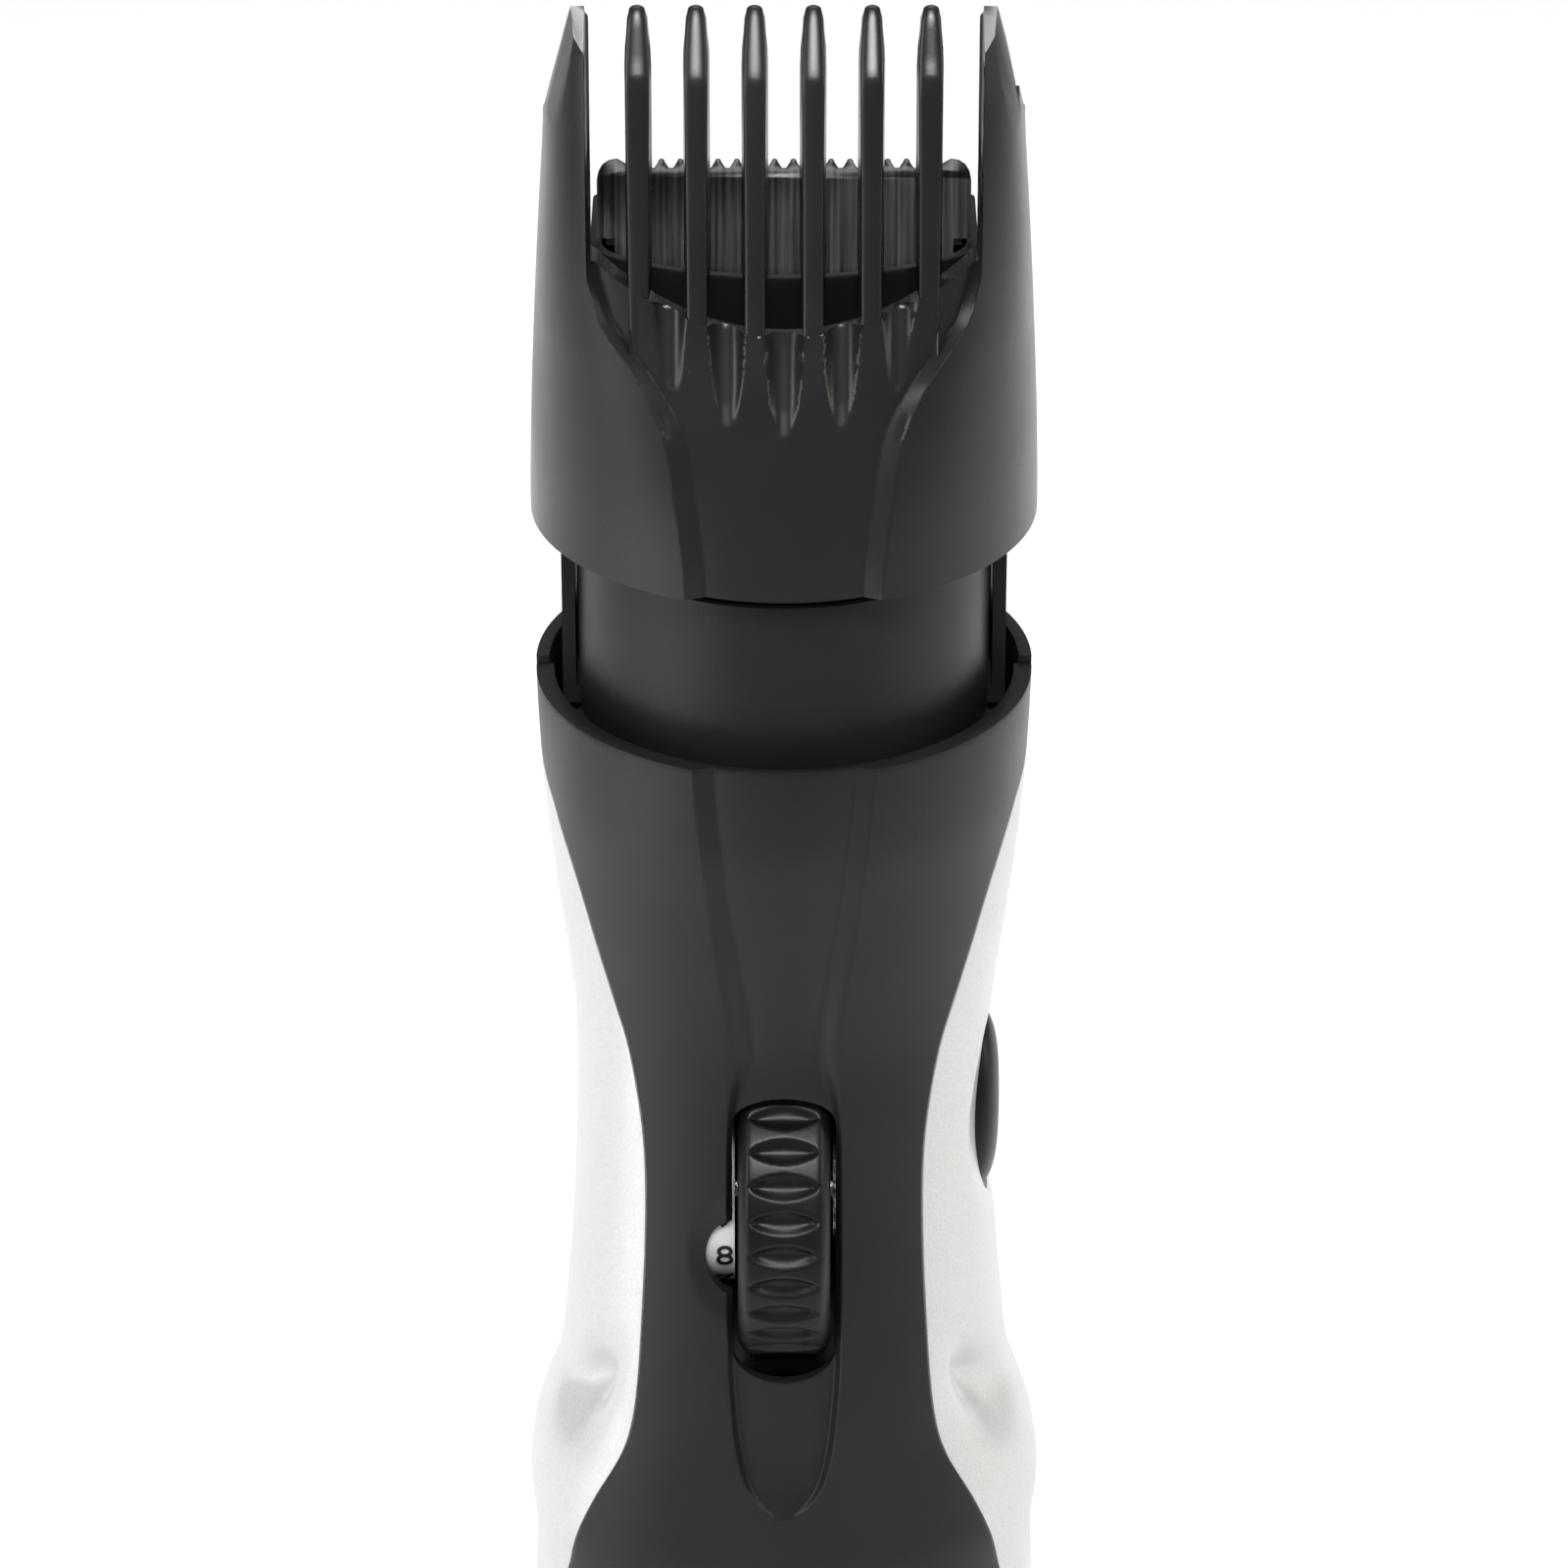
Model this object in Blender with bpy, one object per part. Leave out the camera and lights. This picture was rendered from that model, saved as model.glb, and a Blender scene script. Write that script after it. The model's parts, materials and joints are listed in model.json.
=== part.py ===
"""Cordless hair clipper with a height-set guide comb, modelled as separate pieces.

Lengths in this file are millimetres, and make_object scales them to metres.
+Z runs up the handle, the front with the thumb wheel faces -Y, and the power button is on +X.
"""

import math

import bmesh
import bpy

MM = 0.001
GAP = 0.3
TAU = 2 * math.pi

# Driving dimensions
COLLAR_TOP = 123.6
REAR_COLLAR_TOP = 124.3
NECK_RADIUS = 17.2
FLANGE_RADIUS = 18.7
SHELL_BOTTOM = 3.2
SHELL_THICKNESS = 1.8
FRONT_COLLAR_THICKNESS = 1.5
REAR_COLLAR_THICKNESS = 1.1
PANEL_THICKNESS = 1.2
SILVER_LOW = 24.0
SILVER_HIGH = 117.0
WHEEL_Y = -6.2
WHEEL_Z = 76.5
WHEEL_RADIUS = 14.5
WHEEL_HALF_WIDTH = 3.9
WHEEL_NOTCHES = 30
DRUM_RADIUS = 8.0
WINDOW_Z = 75.0
WINDOW_HEIGHT = 6.8
AXLE_RADIUS = 1.2
GEAR_TEETH = 12
RACK_PITCH = 2.0
PITCH_RADIUS = GEAR_TEETH * RACK_PITCH / TAU
COMB_BOTTOM = 138.6
COMB_TOP = 188.0
COMB_PITCH = 4.58
BUTTON_Z = 82.0
HEAD_WALL = 0.8
BLADE_TOP = 170.8
BLADE_TOP_DEPTH = 5.6
BLADE_TILT = math.radians(12)
MOTOR_LOW = 102.5
MOTOR_HIGH = 127.5
CELL_LOW = 10.6
CELL_HIGH = 55.1
CELL_X = 5.7
CELL_Y = 1.0

# Height, half width, front depth, back depth, roundness power of the handle's section
HANDLE = [
    (0, 19.6, 16.6, 16.6, 2.5), (3, 21.2, 18.0, 18.0, 2.5), (12, 22.1, 18.9, 18.9, 2.5),
    (25, 22.3, 19.3, 19.3, 2.5), (35, 22.15, 19.2, 19.2, 2.5), (40, 22.0, 18.9, 19.1, 2.4),
    (45, 22.5, 18.6, 18.9, 2.35), (49, 22.0, 18.2, 18.6, 2.3), (52, 21.1, 17.9, 18.4, 2.3),
    (56, 19.8, 17.5, 18.2, 2.3), (62, 19.1, 17.0, 18.0, 2.3), (70, 18.4, 16.4, 17.8, 2.25),
    (78, 18.0, 16.0, 17.7, 2.2), (86, 17.8, 15.8, 17.8, 2.2), (93, 17.9, 15.9, 18.2, 2.15),
    (98, 18.5, 16.6, 18.7, 2.1), (104, 19.3, 17.9, 19.3, 2.05), (110, 19.95, 19.3, 19.9, 2.0),
    (116, 20.4, 20.6, 20.35, 2.0), (125, 20.7, 21.2, 20.7, 2.0),
]
# Height, share of the half width where the black panel meets the silver one
PANEL_EDGE = [
    (24, 0.998), (30, 0.965), (36, 0.91), (40.4, 0.862), (45.2, 0.80), (50.2, 0.735), (54, 0.69),
    (60, 0.66), (68, 0.655), (76.5, 0.652), (85, 0.668), (92, 0.72), (99, 0.79), (107.7, 0.871),
    (113.8, 0.95), (117, 0.998),
]
# Height, outer half width, slope width and depth of the front channel
CHANNEL = [
    (0, 1.0, 0.5, 0.0), (49.9, 1.0, 0.5, 0.0), (50.9, 1.9, 0.5, 0.3), (52.2, 3.0, 0.6, 0.65),
    (53.8, 3.7, 0.6, 0.85), (56.3, 4.3, 0.7, 1.0), (60, 4.7, 0.7, 1.0), (65, 5.0, 0.8, 1.0),
    (88, 4.9, 0.9, 1.0), (95, 4.8, 2.2, 1.1),
    (104, 5.6, 1.9, 0.95), (112, 6.4, 1.6, 0.9), (125, 7.4, 1.6, 0.9),
]
# Height, half width, front depth, back depth, roundness power of the comb's outside
COMB_OUTER = [
    (138.6, 20.9, 20.9, 20.9, 2.0), (146, 20.75, 20.6, 20.75, 2.1), (151, 20.55, 19.9, 20.4, 2.25),
    (156, 20.3, 18.9, 20.0, 2.5), (160.4, 20.05, 17.7, 19.6, 2.9), (166, 19.7, 16.7, 19.2, 3.4),
    (172, 19.3, 16.0, 18.8, 3.8), (180, 18.9, 15.3, 18.4, 4.0), (188, 18.6, 14.7, 18.0, 4.0),
]
COMB_INNER = [
    (138.6, 19.5, 18.6, 19.5, 2.0), (146, 19.3, 18.2, 19.3, 2.0), (151, 19.0, 17.65, 18.9, 2.1),
    (156, 18.75, 16.2, 18.5, 2.4), (160.4, 18.5, 14.9, 18.1, 3.0), (168, 17.9, 10.2, 17.5, 6.0),
    (188, 17.0, 10.0, 16.8, 8.0),
]
# Height, outer half width, slope width and depth of the comb's sunken front
COMB_RECESS = [
    (138.6, 7.9, 1.6, 1.2), (148.3, 8.85, 1.6, 1.25), (152.1, 9.5, 1.6, 1.3), (154.2, 10.4, 1.5, 1.3),
    (156.2, 11.4, 1.2, 1.3), (160.3, 14.4, 1.0, 1.3), (162.5, 15.1, 0.8, 1.3), (164.5, 15.6, 0.6, 1.3),
    (188, 15.6, 0.6, 1.3),
]
# Depth, floor height and half width along a gap between two of the comb's teeth
COMB_GAP = [(25.0, 142.3, 2.35), (18.9, 152.8, 1.95), (15.2, 159.9, 1.66), (3.0, 160.4, 1.2)]
COMB_GAP_RISE = 0.48
# Side view of what is cleared above the teeth and behind them, as (y, z)
COMB_ROOF = [
    (-30, 159), (-14.0, 180.8), (-10.6, 185.6), (-9.4, 184.6), (-4.0, 176.5), (4.0, 160), (12, 152.5),
    (30, 150), (30, 200), (-30, 200),
]
COMB_ROWS = [138.6, 142, 145.5, 148.3, 150.5, 152.5, 154.5, 156.5, 158.5, 160.4, 162.5, 164.5, 168, 174, 181, 188]
# Height, half width, front depth, back depth, roundness power of the black head
HEAD = [
    (137.3, 17.2, 17.2, 17.2, 2.0), (141, 16.9, 15.6, 17.0, 2.1), (146, 16.4, 13.3, 16.0, 2.4),
    (150, 16.0, 11.0, 14.6, 2.8), (154, 15.8, 9.1, 13.0, 4.4), (158, 15.6, 9.1, 11.4, 8.0),
    (164.3, 15.5, 9.1, 4.2, 10.0),
]

# Heights of the handle shells' rows of faces, shared so that their edges run side by side
HANDLE_ROWS = [12, 23.4, SILVER_LOW, 28, 34, 40, 45, 49, 51, 53.5, 58, 65, 71, 77, 83, 88, 92, 97, 104, 110, 115]
HANDLE_ROWS += [SILVER_HIGH, SILVER_HIGH + 0.6]

COLOURS = {
    "black": ((0.035, 0.035, 0.037), 0.42, 0.0),
    "comb": ((0.03, 0.03, 0.032), 0.3, 0.0),
    "rubber": ((0.02, 0.02, 0.021), 0.6, 0.0),
    "silver": ((0.78, 0.79, 0.79), 0.3, 0.2),
    "white": ((0.85, 0.85, 0.83), 0.4, 0.0),
    "blade": ((0.09, 0.09, 0.095), 0.35, 0.9),
    "steel": ((0.6, 0.6, 0.62), 0.3, 1.0),
    "brass": ((0.75, 0.58, 0.25), 0.3, 1.0),
    "board": ((0.02, 0.22, 0.08), 0.5, 0.0),
    "cell": ((0.1, 0.32, 0.12), 0.4, 0.0),
    "grey": ((0.35, 0.36, 0.38), 0.5, 0.0),
}


# Scene and mesh helpers


def clear_scene():
    for old in list(bpy.data.objects):
        bpy.data.objects.remove(old)


def get_material(name):
    material = bpy.data.materials.get(name)
    if material is None:
        colour, roughness, metallic = COLOURS[name]
        material = bpy.data.materials.new(name)
        material.use_nodes = True
        shader = material.node_tree.nodes["Principled BSDF"]
        shader.inputs["Base Color"].default_value = (*colour, 1.0)
        shader.inputs["Roughness"].default_value = roughness
        shader.inputs["Metallic"].default_value = metallic
    return material


def make_object(name, rings, colour, loop=False, origin=(0, 0, 0)):
    """Skin a list of rings of equal length. A loop joins the last ring to the first, else both ends are capped."""
    mesh = bmesh.new()
    rows = []
    for ring in rings:
        row = []
        for point in ring:
            place = [(value - start) * MM for value, start in zip(point, origin)]
            row.append(mesh.verts.new(place))
        rows.append(row)
    pairs = list(zip(rows, rows[1:]))
    if loop:
        pairs.append((rows[-1], rows[0]))
    else:
        mesh.faces.new(rows[0])
        mesh.faces.new(rows[-1])
    count = len(rows[0])
    for low, high in pairs:
        for i in range(count):
            j = (i + 1) % count
            mesh.faces.new((low[i], low[j], high[j], high[i]))
    return finish_mesh(name, mesh, colour, origin)


def finish_mesh(name, mesh, colour, origin=(0, 0, 0)):
    bmesh.ops.recalc_face_normals(mesh, faces=mesh.faces)
    data = bpy.data.meshes.new(name)
    mesh.to_mesh(data)
    mesh.free()
    data.shade_smooth()
    data.set_sharp_from_angle(angle=math.radians(35))
    data.materials.append(get_material(colour))
    made = bpy.data.objects.new(name, data)
    made.location = [value * MM for value in origin]
    bpy.context.scene.collection.objects.link(made)
    return made


def make_shell(name, outer_rows, inner_rows, colour):
    """Closed shell between two grids of points that have the same rows and columns."""
    mesh = bmesh.new()
    outer = [[mesh.verts.new([value * MM for value in point]) for point in row] for row in outer_rows]
    inner = [[mesh.verts.new([value * MM for value in point]) for point in row] for row in inner_rows]
    last = len(outer[0]) - 1
    for r in range(len(outer) - 1):
        for c in range(last):
            mesh.faces.new((outer[r][c], outer[r][c + 1], outer[r + 1][c + 1], outer[r + 1][c]))
            mesh.faces.new((inner[r][c], inner[r + 1][c], inner[r + 1][c + 1], inner[r][c + 1]))
        for c in (0, last):
            mesh.faces.new((outer[r][c], outer[r + 1][c], inner[r + 1][c], inner[r][c]))
    for r in (0, len(outer) - 1):
        for c in range(last):
            mesh.faces.new((outer[r][c], inner[r][c], inner[r][c + 1], outer[r][c + 1]))
    return finish_mesh(name, mesh, colour)


def add_boolean(target, tool, operation):
    tool.hide_render = True
    tool.display_type = "WIRE"
    modifier = target.modifiers.new(operation.lower(), "BOOLEAN")
    modifier.operation = operation
    modifier.solver = "EXACT"
    modifier.object = tool


def cut(target, *tools):
    for tool in tools:
        add_boolean(target, tool, "DIFFERENCE")


def join(target, *tools):
    for tool in tools:
        add_boolean(target, tool, "UNION")


def prism(name, outline, axis, low, high, colour="black"):
    """Extrude an outline. Its points are (y, z) for axis x, (x, z) for axis y and (x, y) for axis z."""
    place = {
        "x": lambda a, b, h: (h, a, b),
        "y": lambda a, b, h: (a, h, b),
        "z": lambda a, b, h: (a, b, h),
    }[axis]
    rings = [[place(a, b, h) for a, b in outline] for h in (low, high)]
    return make_object(name, rings, colour)


def box(name, x_range, y_range, z_range, colour="black"):
    (x0, x1), (y0, y1) = x_range, y_range
    return prism(name, [(x0, y0), (x1, y0), (x1, y1), (x0, y1)], "z", *z_range, colour)


def ellipse(centre, radii, count, start=0.0):
    angles = [start + TAU * i / count for i in range(count)]
    return [(centre[0] + radii[0] * math.cos(a), centre[1] + radii[1] * math.sin(a)) for a in angles]


def turned(name, profile, centre, axis, count, colour, loop=False, origin=(0, 0, 0)):
    """Turn (radius, height) points about an axis through centre, which holds the other two coordinates."""
    rings = []
    for radius, height in profile:
        circle = ellipse(centre, (radius, radius), count)
        if axis == "x":
            rings.append([(height, a, b) for a, b in circle])
        elif axis == "y":
            rings.append([(a, height, b) for a, b in circle])
        else:
            rings.append([(a, b, height) for a, b in circle])
    return make_object(name, rings, colour, loop, origin)


def strip_outline(points, thickness):
    """Outline of a bent strip that follows the points."""
    left = []
    right = []
    for i, (a, b) in enumerate(points):
        before = points[max(i - 1, 0)]
        after = points[min(i + 1, len(points) - 1)]
        run = (after[0] - before[0], after[1] - before[1])
        length = math.hypot(*run)
        side = (-run[1] / length * thickness / 2, run[0] / length * thickness / 2)
        left.append((a + side[0], b + side[1]))
        right.append((a - side[0], b - side[1]))
    return left + right[::-1]


# Sections


def at_height(table, z):
    """Read a table of stations at a height, on a smooth curve through its rows."""
    z = min(max(z, table[0][0]), table[-1][0])
    k = 0
    while k < len(table) - 2 and z > table[k + 1][0]:
        k += 1
    low, high = table[k], table[k + 1]
    before = table[max(k - 1, 0)]
    after = table[min(k + 2, len(table) - 1)]
    span = high[0] - low[0]
    t = (z - low[0]) / span
    values = []
    for j in range(1, len(low)):
        start = (high[j] - before[j]) / (high[0] - before[0]) * span
        end = (after[j] - low[j]) / (after[0] - low[0]) * span
        if (high[j] - low[j]) * (low[j] - before[j]) <= 0:
            start = 0.0
        if (after[j] - high[j]) * (high[j] - low[j]) <= 0:
            end = 0.0
        rise = high[j] - low[j]
        values.append(
            low[j] + start * t + (3 * rise - 2 * start - end) * t * t + (start + end - 2 * rise) * t ** 3
        )
    return values


def section_point(section, angle, inset=0.0):
    """Point of a rounded section. Angle 0 is the front, and a quarter turn is the +X side."""
    half_width, front, back, power = section
    side = math.sin(angle)
    ahead = math.cos(angle)
    depth = front if ahead >= 0 else back
    x = (half_width - inset) * math.copysign(abs(side) ** (2 / power), side)
    y = -(depth - inset) * math.copysign(abs(ahead) ** (2 / power), ahead)
    return x, y


def angle_at(section, x):
    half_width, power = section[0], section[3]
    return math.asin(min(1.0, (x / half_width) ** (power / 2)))


def spread(low, high, count):
    return [low + (high - low) * i / count for i in range(count + 1)]


# Handle shells


def smooth_step(value):
    value = min(max(value, 0.0), 1.0)
    return value * value * (3 - 2 * value)


def wall(z, collar_thickness):
    """Thickness of a handle shell, which changes below the collar."""
    return SHELL_THICKNESS + (collar_thickness - SHELL_THICKNESS) * smooth_step((z - 96) / 8)


def edge_angle(z):
    if z < SILVER_LOW or z > SILVER_HIGH:
        return math.pi / 2
    section = at_height(HANDLE, z)
    share = at_height(PANEL_EDGE, z)[0]
    return angle_at(section, share * section[0])


def handle_point(angle, z, inset, side_dents=False):
    section = at_height(HANDLE, z)
    x, y = section_point(section, angle, inset)
    if side_dents:
        x -= math.copysign(side_dent(abs(x), y, z, x > 0), x)
    return x, y, z


def side_dent(x, y, z, has_button):
    """Depth of the grip dimple on the front corner, and of the dish round the button."""
    along = ((x - 17.2) * 0.385 - (z - 60.8) * 0.923) / 4.6
    across = ((x - 17.2) * 0.923 + (z - 60.8) * 0.385) / 1.8
    dent = 0.9 * math.exp(-(along ** 2) - across ** 2) if y < 0 else 0.0
    if has_button:
        reach = (y / 8.2) ** 2 + ((z - BUTTON_Z) / 11.5) ** 2
        dent += 0.9 * max(0.0, 1 - reach) ** 0.7
    return dent


def thick_patch(name, columns, rows, inset, colour, side_dents=False):
    """Closed shell between the handle's surface and an inset copy. columns(z) gives the angles."""
    outer = [[handle_point(a, z, 0.0, side_dents) for a in columns(z)] for z in rows]
    inner = [[handle_point(a, z, inset(z), side_dents) for a in columns(z)] for z in rows]
    return make_shell(name, outer, inner, colour)


def front_columns(z):
    section = at_height(HANDLE, z)
    half, slope, _ = at_height(CHANNEL, z)
    floor = angle_at(section, half - slope)
    brim = angle_at(section, half)
    edge = edge_angle(z) - 0.2 / section[0]
    right = spread(0, floor, 2) + [brim] + spread(brim, edge, 6)[1:]
    return [-a for a in reversed(right[1:])] + right


def front_housing():
    outer_rows = []
    inner_rows = []
    for z in [SHELL_BOTTOM] + HANDLE_ROWS + [COLLAR_TOP]:
        angles = front_columns(z)
        depth = at_height(CHANNEL, z)[2]
        floor = (len(angles) - 1) // 2
        outer = []
        for i, angle in enumerate(angles):
            x, y, height = handle_point(angle, z, 0.0)
            if abs(i - floor) <= 2:
                y += depth
            outer.append((x, y, height))
        outer_rows.append(outer)
        inner_rows.append([handle_point(a, z, wall(z, FRONT_COLLAR_THICKNESS)) for a in angles])
    shell = make_shell("front_housing", outer_rows, inner_rows, "black")
    top_arch = ellipse((0, WHEEL_Z + 10.8), (4.4, 2.9), 26)[:14]
    low_arch = [(x, 2 * WHEEL_Z - z) for x, z in reversed(top_arch)]
    arch = top_arch + low_arch
    slot = prism("wheel_slot_cutter", arch, "y", -26, -9)
    window_outline = ellipse((-4.2, WINDOW_Z), (2.75, WINDOW_HEIGHT / 2), 16, math.pi / 2)[:9]
    window_outline += [(-3.0, WINDOW_Z - WINDOW_HEIGHT / 2), (-3.0, WINDOW_Z + WINDOW_HEIGHT / 2)]
    window = prism("window_cutter", window_outline, "y", -26, -9)
    pocket = [(DRUM_RADIUS + GAP, -7.6), (DRUM_RADIUS + GAP, -3.9)]
    cut(shell, slot, window, turned("drum_pocket_cutter", pocket, (WHEEL_Y, WHEEL_Z), "x", 50, "black"))


def rear_columns(z):
    edge = edge_angle(z) - 0.2 / at_height(HANDLE, z)[0]
    return spread(math.pi - edge, math.pi + edge, 12)


def rear_housing():
    rows = [SHELL_BOTTOM] + HANDLE_ROWS + [REAR_COLLAR_TOP]

    def inset(z):
        return wall(z, REAR_COLLAR_THICKNESS)

    thick_patch("rear_housing", rear_columns, rows, inset, "black")


def side_columns(z):
    edge = edge_angle(z) + 0.2 / at_height(HANDLE, z)[0]
    return spread(edge, math.pi - edge, 8)


def side_panels():
    middle_rows = [z for z in HANDLE_ROWS if SILVER_LOW < z < SILVER_HIGH]
    rows = [SILVER_LOW + 0.3] + middle_rows + [SILVER_HIGH - 0.3]

    def inset(z):
        return PANEL_THICKNESS - 0.2 * smooth_step((z - 95) / 8)

    def left_columns(z):
        return [-angle for angle in side_columns(z)]

    right = thick_patch("right_side_panel", side_columns, rows, inset, "silver", True)
    hole = prism("button_hole_cutter", ellipse((0, BUTTON_Z), (5.9, 8.8), 34), "x", 10, 22)
    cut(right, hole)
    thick_patch("left_side_panel", left_columns, rows, inset, "silver", True)


def base_cap():
    rings = []
    for z in (0.0, 0.8, 2.9):
        section = at_height(HANDLE, z)
        rings.append([(*section_point(section, TAU * i / 48), z) for i in range(48)])
    cap = make_object("base_cap", rings, "black")
    cut(cap, box("socket_hole_cutter", (-7.3, 7.3), (-5.1, 5.1), (-1, 4)))
    for side in (-1, 1):
        well = turned("screw_well_cutter", [(2.3, -1), (2.3, 1.4)], (14 * side, 0), "z", 20, "black")
        bore = turned("screw_bore_cutter", [(1.3, 1), (1.3, 4)], (14 * side, 0), "z", 16, "black")
        cut(cap, well, bore)


# Head, neck and blades


def head_tube():
    profile = [(NECK_RADIUS, 137.0), (NECK_RADIUS, 121), (FLANGE_RADIUS, 121), (FLANGE_RADIUS, 119.4)]
    profile += [(NECK_RADIUS, 119.4), (NECK_RADIUS, 109.0), (15.6, 109.0), (15.6, 137.0)]
    tube = turned("head_tube", profile, (0, 0), "z", 48, "black", loop=True)
    for side in (-1, 1):
        notch_span = tuple(sorted((14 * side, 17.45 * side)))
        lane_span = tuple(sorted((17 * side, 20 * side)))
        cut(tube, box("neck_notch_cutter", notch_span, (-3, 3), (100, 125)))
        cut(tube, box("flange_notch_cutter", lane_span, (-3.3, 3.3), (118, 122)))


def blade_holder():
    rings = []
    inner_rings = []
    for z, wall in ((137.3, 1.6), (141, 1.5), (146, 1.4), (150, 1.3), (154, 1.1), (158, HEAD_WALL), (164.3, HEAD_WALL)):
        section = at_height(HEAD, z)
        angles = [TAU * i / 36 for i in range(36)]
        rings.append([(*section_point(section, a), z) for a in angles])
        inner_rings.append([(*section_point(section, a, wall), z) for a in angles])
    holder = make_object("blade_holder", rings + inner_rings[::-1], "black", loop=True)
    sag_radius = 56.0
    lip = turned(
        "lip_cutter", [(sag_radius, -30), (sag_radius, 30)], (0, 162.1 + sag_radius), "y", 130, "black"
    )
    cut(holder, lip)


def head_cap():
    """Plate that closes the head behind the blades, open for the follower and its spring."""
    rings = []
    for z in (160.2, 161.4):
        section = at_height(HEAD, z)
        rings.append([(*section_point(section, TAU * (i + 0.5) / 36, HEAD_WALL + GAP), z) for i in range(36)])
    cap = make_object("head_cap", rings, "black")
    cut(cap, box("front_opening_cutter", (-20, 20), (-20, -0.4), (158, 164)))
    cut(cap, box("spring_notch_cutter", (-5.8, 5.8), (-1.4, 0.9), (158, 164)))


def blade_outline(half_width, root, tip, low, count, pitch, end_width):
    """Plate outline with a narrow tongue below and teeth along its top, as (x, z) from the blade's tip line."""
    tongue = 11.8
    points = [(-tongue, low), (tongue, low), (tongue, -6.8), (half_width, -6.3)]
    points += [(half_width, tip - 0.5), (half_width - 0.5, tip)]
    points += [(half_width - end_width + 0.3, tip), (half_width - end_width, root)]
    for i in reversed(range(count)):
        x = (i - (count - 1) / 2) * pitch
        points += [(x + 0.42, root), (x + 0.2, tip), (x - 0.2, tip), (x - 0.42, root)]
    points += [(-half_width + end_width, root), (-half_width + end_width - 0.3, tip)]
    points += [(-half_width + 0.5, tip), (-half_width, tip - 0.5), (-half_width, -6.3), (-tongue, -6.8)]
    return points


def blades():
    origin = (0, -BLADE_TOP_DEPTH, BLADE_TOP)
    fixed = prism("fixed_blade", blade_outline(14.9, -1.4, 0.0, -10.4, 16, 1.5, 2.4), "y", 0.0, 0.8, "blade")
    moving = prism("moving_blade", blade_outline(13.2, -1.9, -0.6, -9.2, 16, 1.5, 0.9), "y", 1.1, 1.8, "steel")
    for blade in (fixed, moving):
        blade.location = [value * MM for value in origin]
        blade.rotation_euler = (-BLADE_TILT, 0, 0)


def follower():
    y_back = -BLADE_TOP_DEPTH + 2.6
    stem_outline = [(-4.4, 136), (-1.5, 136), (-1.5, 141), (y_back + 1.6, 146), (y_back + 1.6, 158)]
    stem_outline += [(y_back + 0.6, 168.2), (y_back - 0.05, 168.2), (y_back - 1.7, 161.5), (y_back - 1.7, 146)]
    plate = box("blade_follower", (-5.4, 5.4), (-4.6, 4.6), (135.2, 138.0), "white")
    stem = prism("follower_stem_tool", stem_outline, "x", -4.0, 4.0)
    join(plate, stem)
    cut(plate, box("pin_slot_cutter", (-3.8, 3.8), (-2.7, 2.7), (134, 140)))


def blade_spring():
    centre = [(11.2, 147), (9.6, 152), (4.0, 156.5), (1.6, 157.4), (0.0, 160.8), (0.3, 163.0)]
    prism("blade_spring", strip_outline(centre, 0.35), "x", -3.0, 3.0, "steel")


# Drive


def motor():
    flat = 7.6
    round_side = 10.1
    reach = math.sqrt(round_side ** 2 - flat ** 2)
    limit = math.atan2(reach, flat)
    arc = [limit + (math.pi - 2 * limit) * i / 12 for i in range(13)]
    half = [(round_side * math.cos(a), round_side * math.sin(a)) for a in arc]
    outline = half + [(-x, -y) for x, y in half]
    prism("motor_can", outline, "z", MOTOR_LOW + 2.0, MOTOR_HIGH, "steel")
    prism("motor_end_cap", outline, "z", MOTOR_LOW, MOTOR_LOW + 1.7, "white")
    for side, name in ((-1, "motor_terminal_front"), (1, "motor_terminal_rear")):
        y = 6.4 * side
        box(name, (-3.2, -1.2), (y - 0.25, y + 0.25), (MOTOR_LOW - 3.0, MOTOR_LOW - GAP), "brass")
    shaft = [(1.0, MOTOR_HIGH + GAP), (1.0, 131.8)]
    turned("motor_shaft", shaft, (0, 0), "z", 20, "steel")
    seal = [(3.2, 128.0), (5.6, 128.0), (5.6, 129.0), (3.2, 129.0)]
    turned("dust_seal", seal, (0, 0), "z", 28, "rubber", loop=True)
    cam = turned("eccentric_cam", [(3.4, 132.1), (3.4, 134.3)], (0, 0), "z", 28, "white")
    join(cam, turned("cam_pin_tool", [(1.0, 133.5), (1.0, 138.6)], (0, 1.2), "z", 16, "white"))


def wheel_ring(x, radius, depth):
    points = []
    for i in range(WHEEL_NOTCHES * 2):
        angle = TAU * i / (WHEEL_NOTCHES * 2)
        r = radius - (depth if i % 2 else 0.0)
        points.append((x, WHEEL_Y + r * math.cos(angle), WHEEL_Z + r * math.sin(angle)))
    return points


def thumb_wheel():
    half = WHEEL_HALF_WIDTH
    r = WHEEL_RADIUS
    stations = [(half, r - 1.3, 0.0), (half - 0.5, r - 0.6, 0.0), (2.8, r - 0.1, 0.15), (1.2, r, 0.55)]
    rings = [wheel_ring(-x, radius, depth) for x, radius, depth in stations]
    rings += [wheel_ring(x, radius, depth) for x, radius, depth in reversed(stations)]
    rings += [wheel_ring(half, AXLE_RADIUS + GAP, 0.0), wheel_ring(-half, AXLE_RADIUS + GAP, 0.0)]
    make_object("thumb_wheel", rings, "rubber", loop=True, origin=(0, WHEEL_Y, WHEEL_Z))


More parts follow.
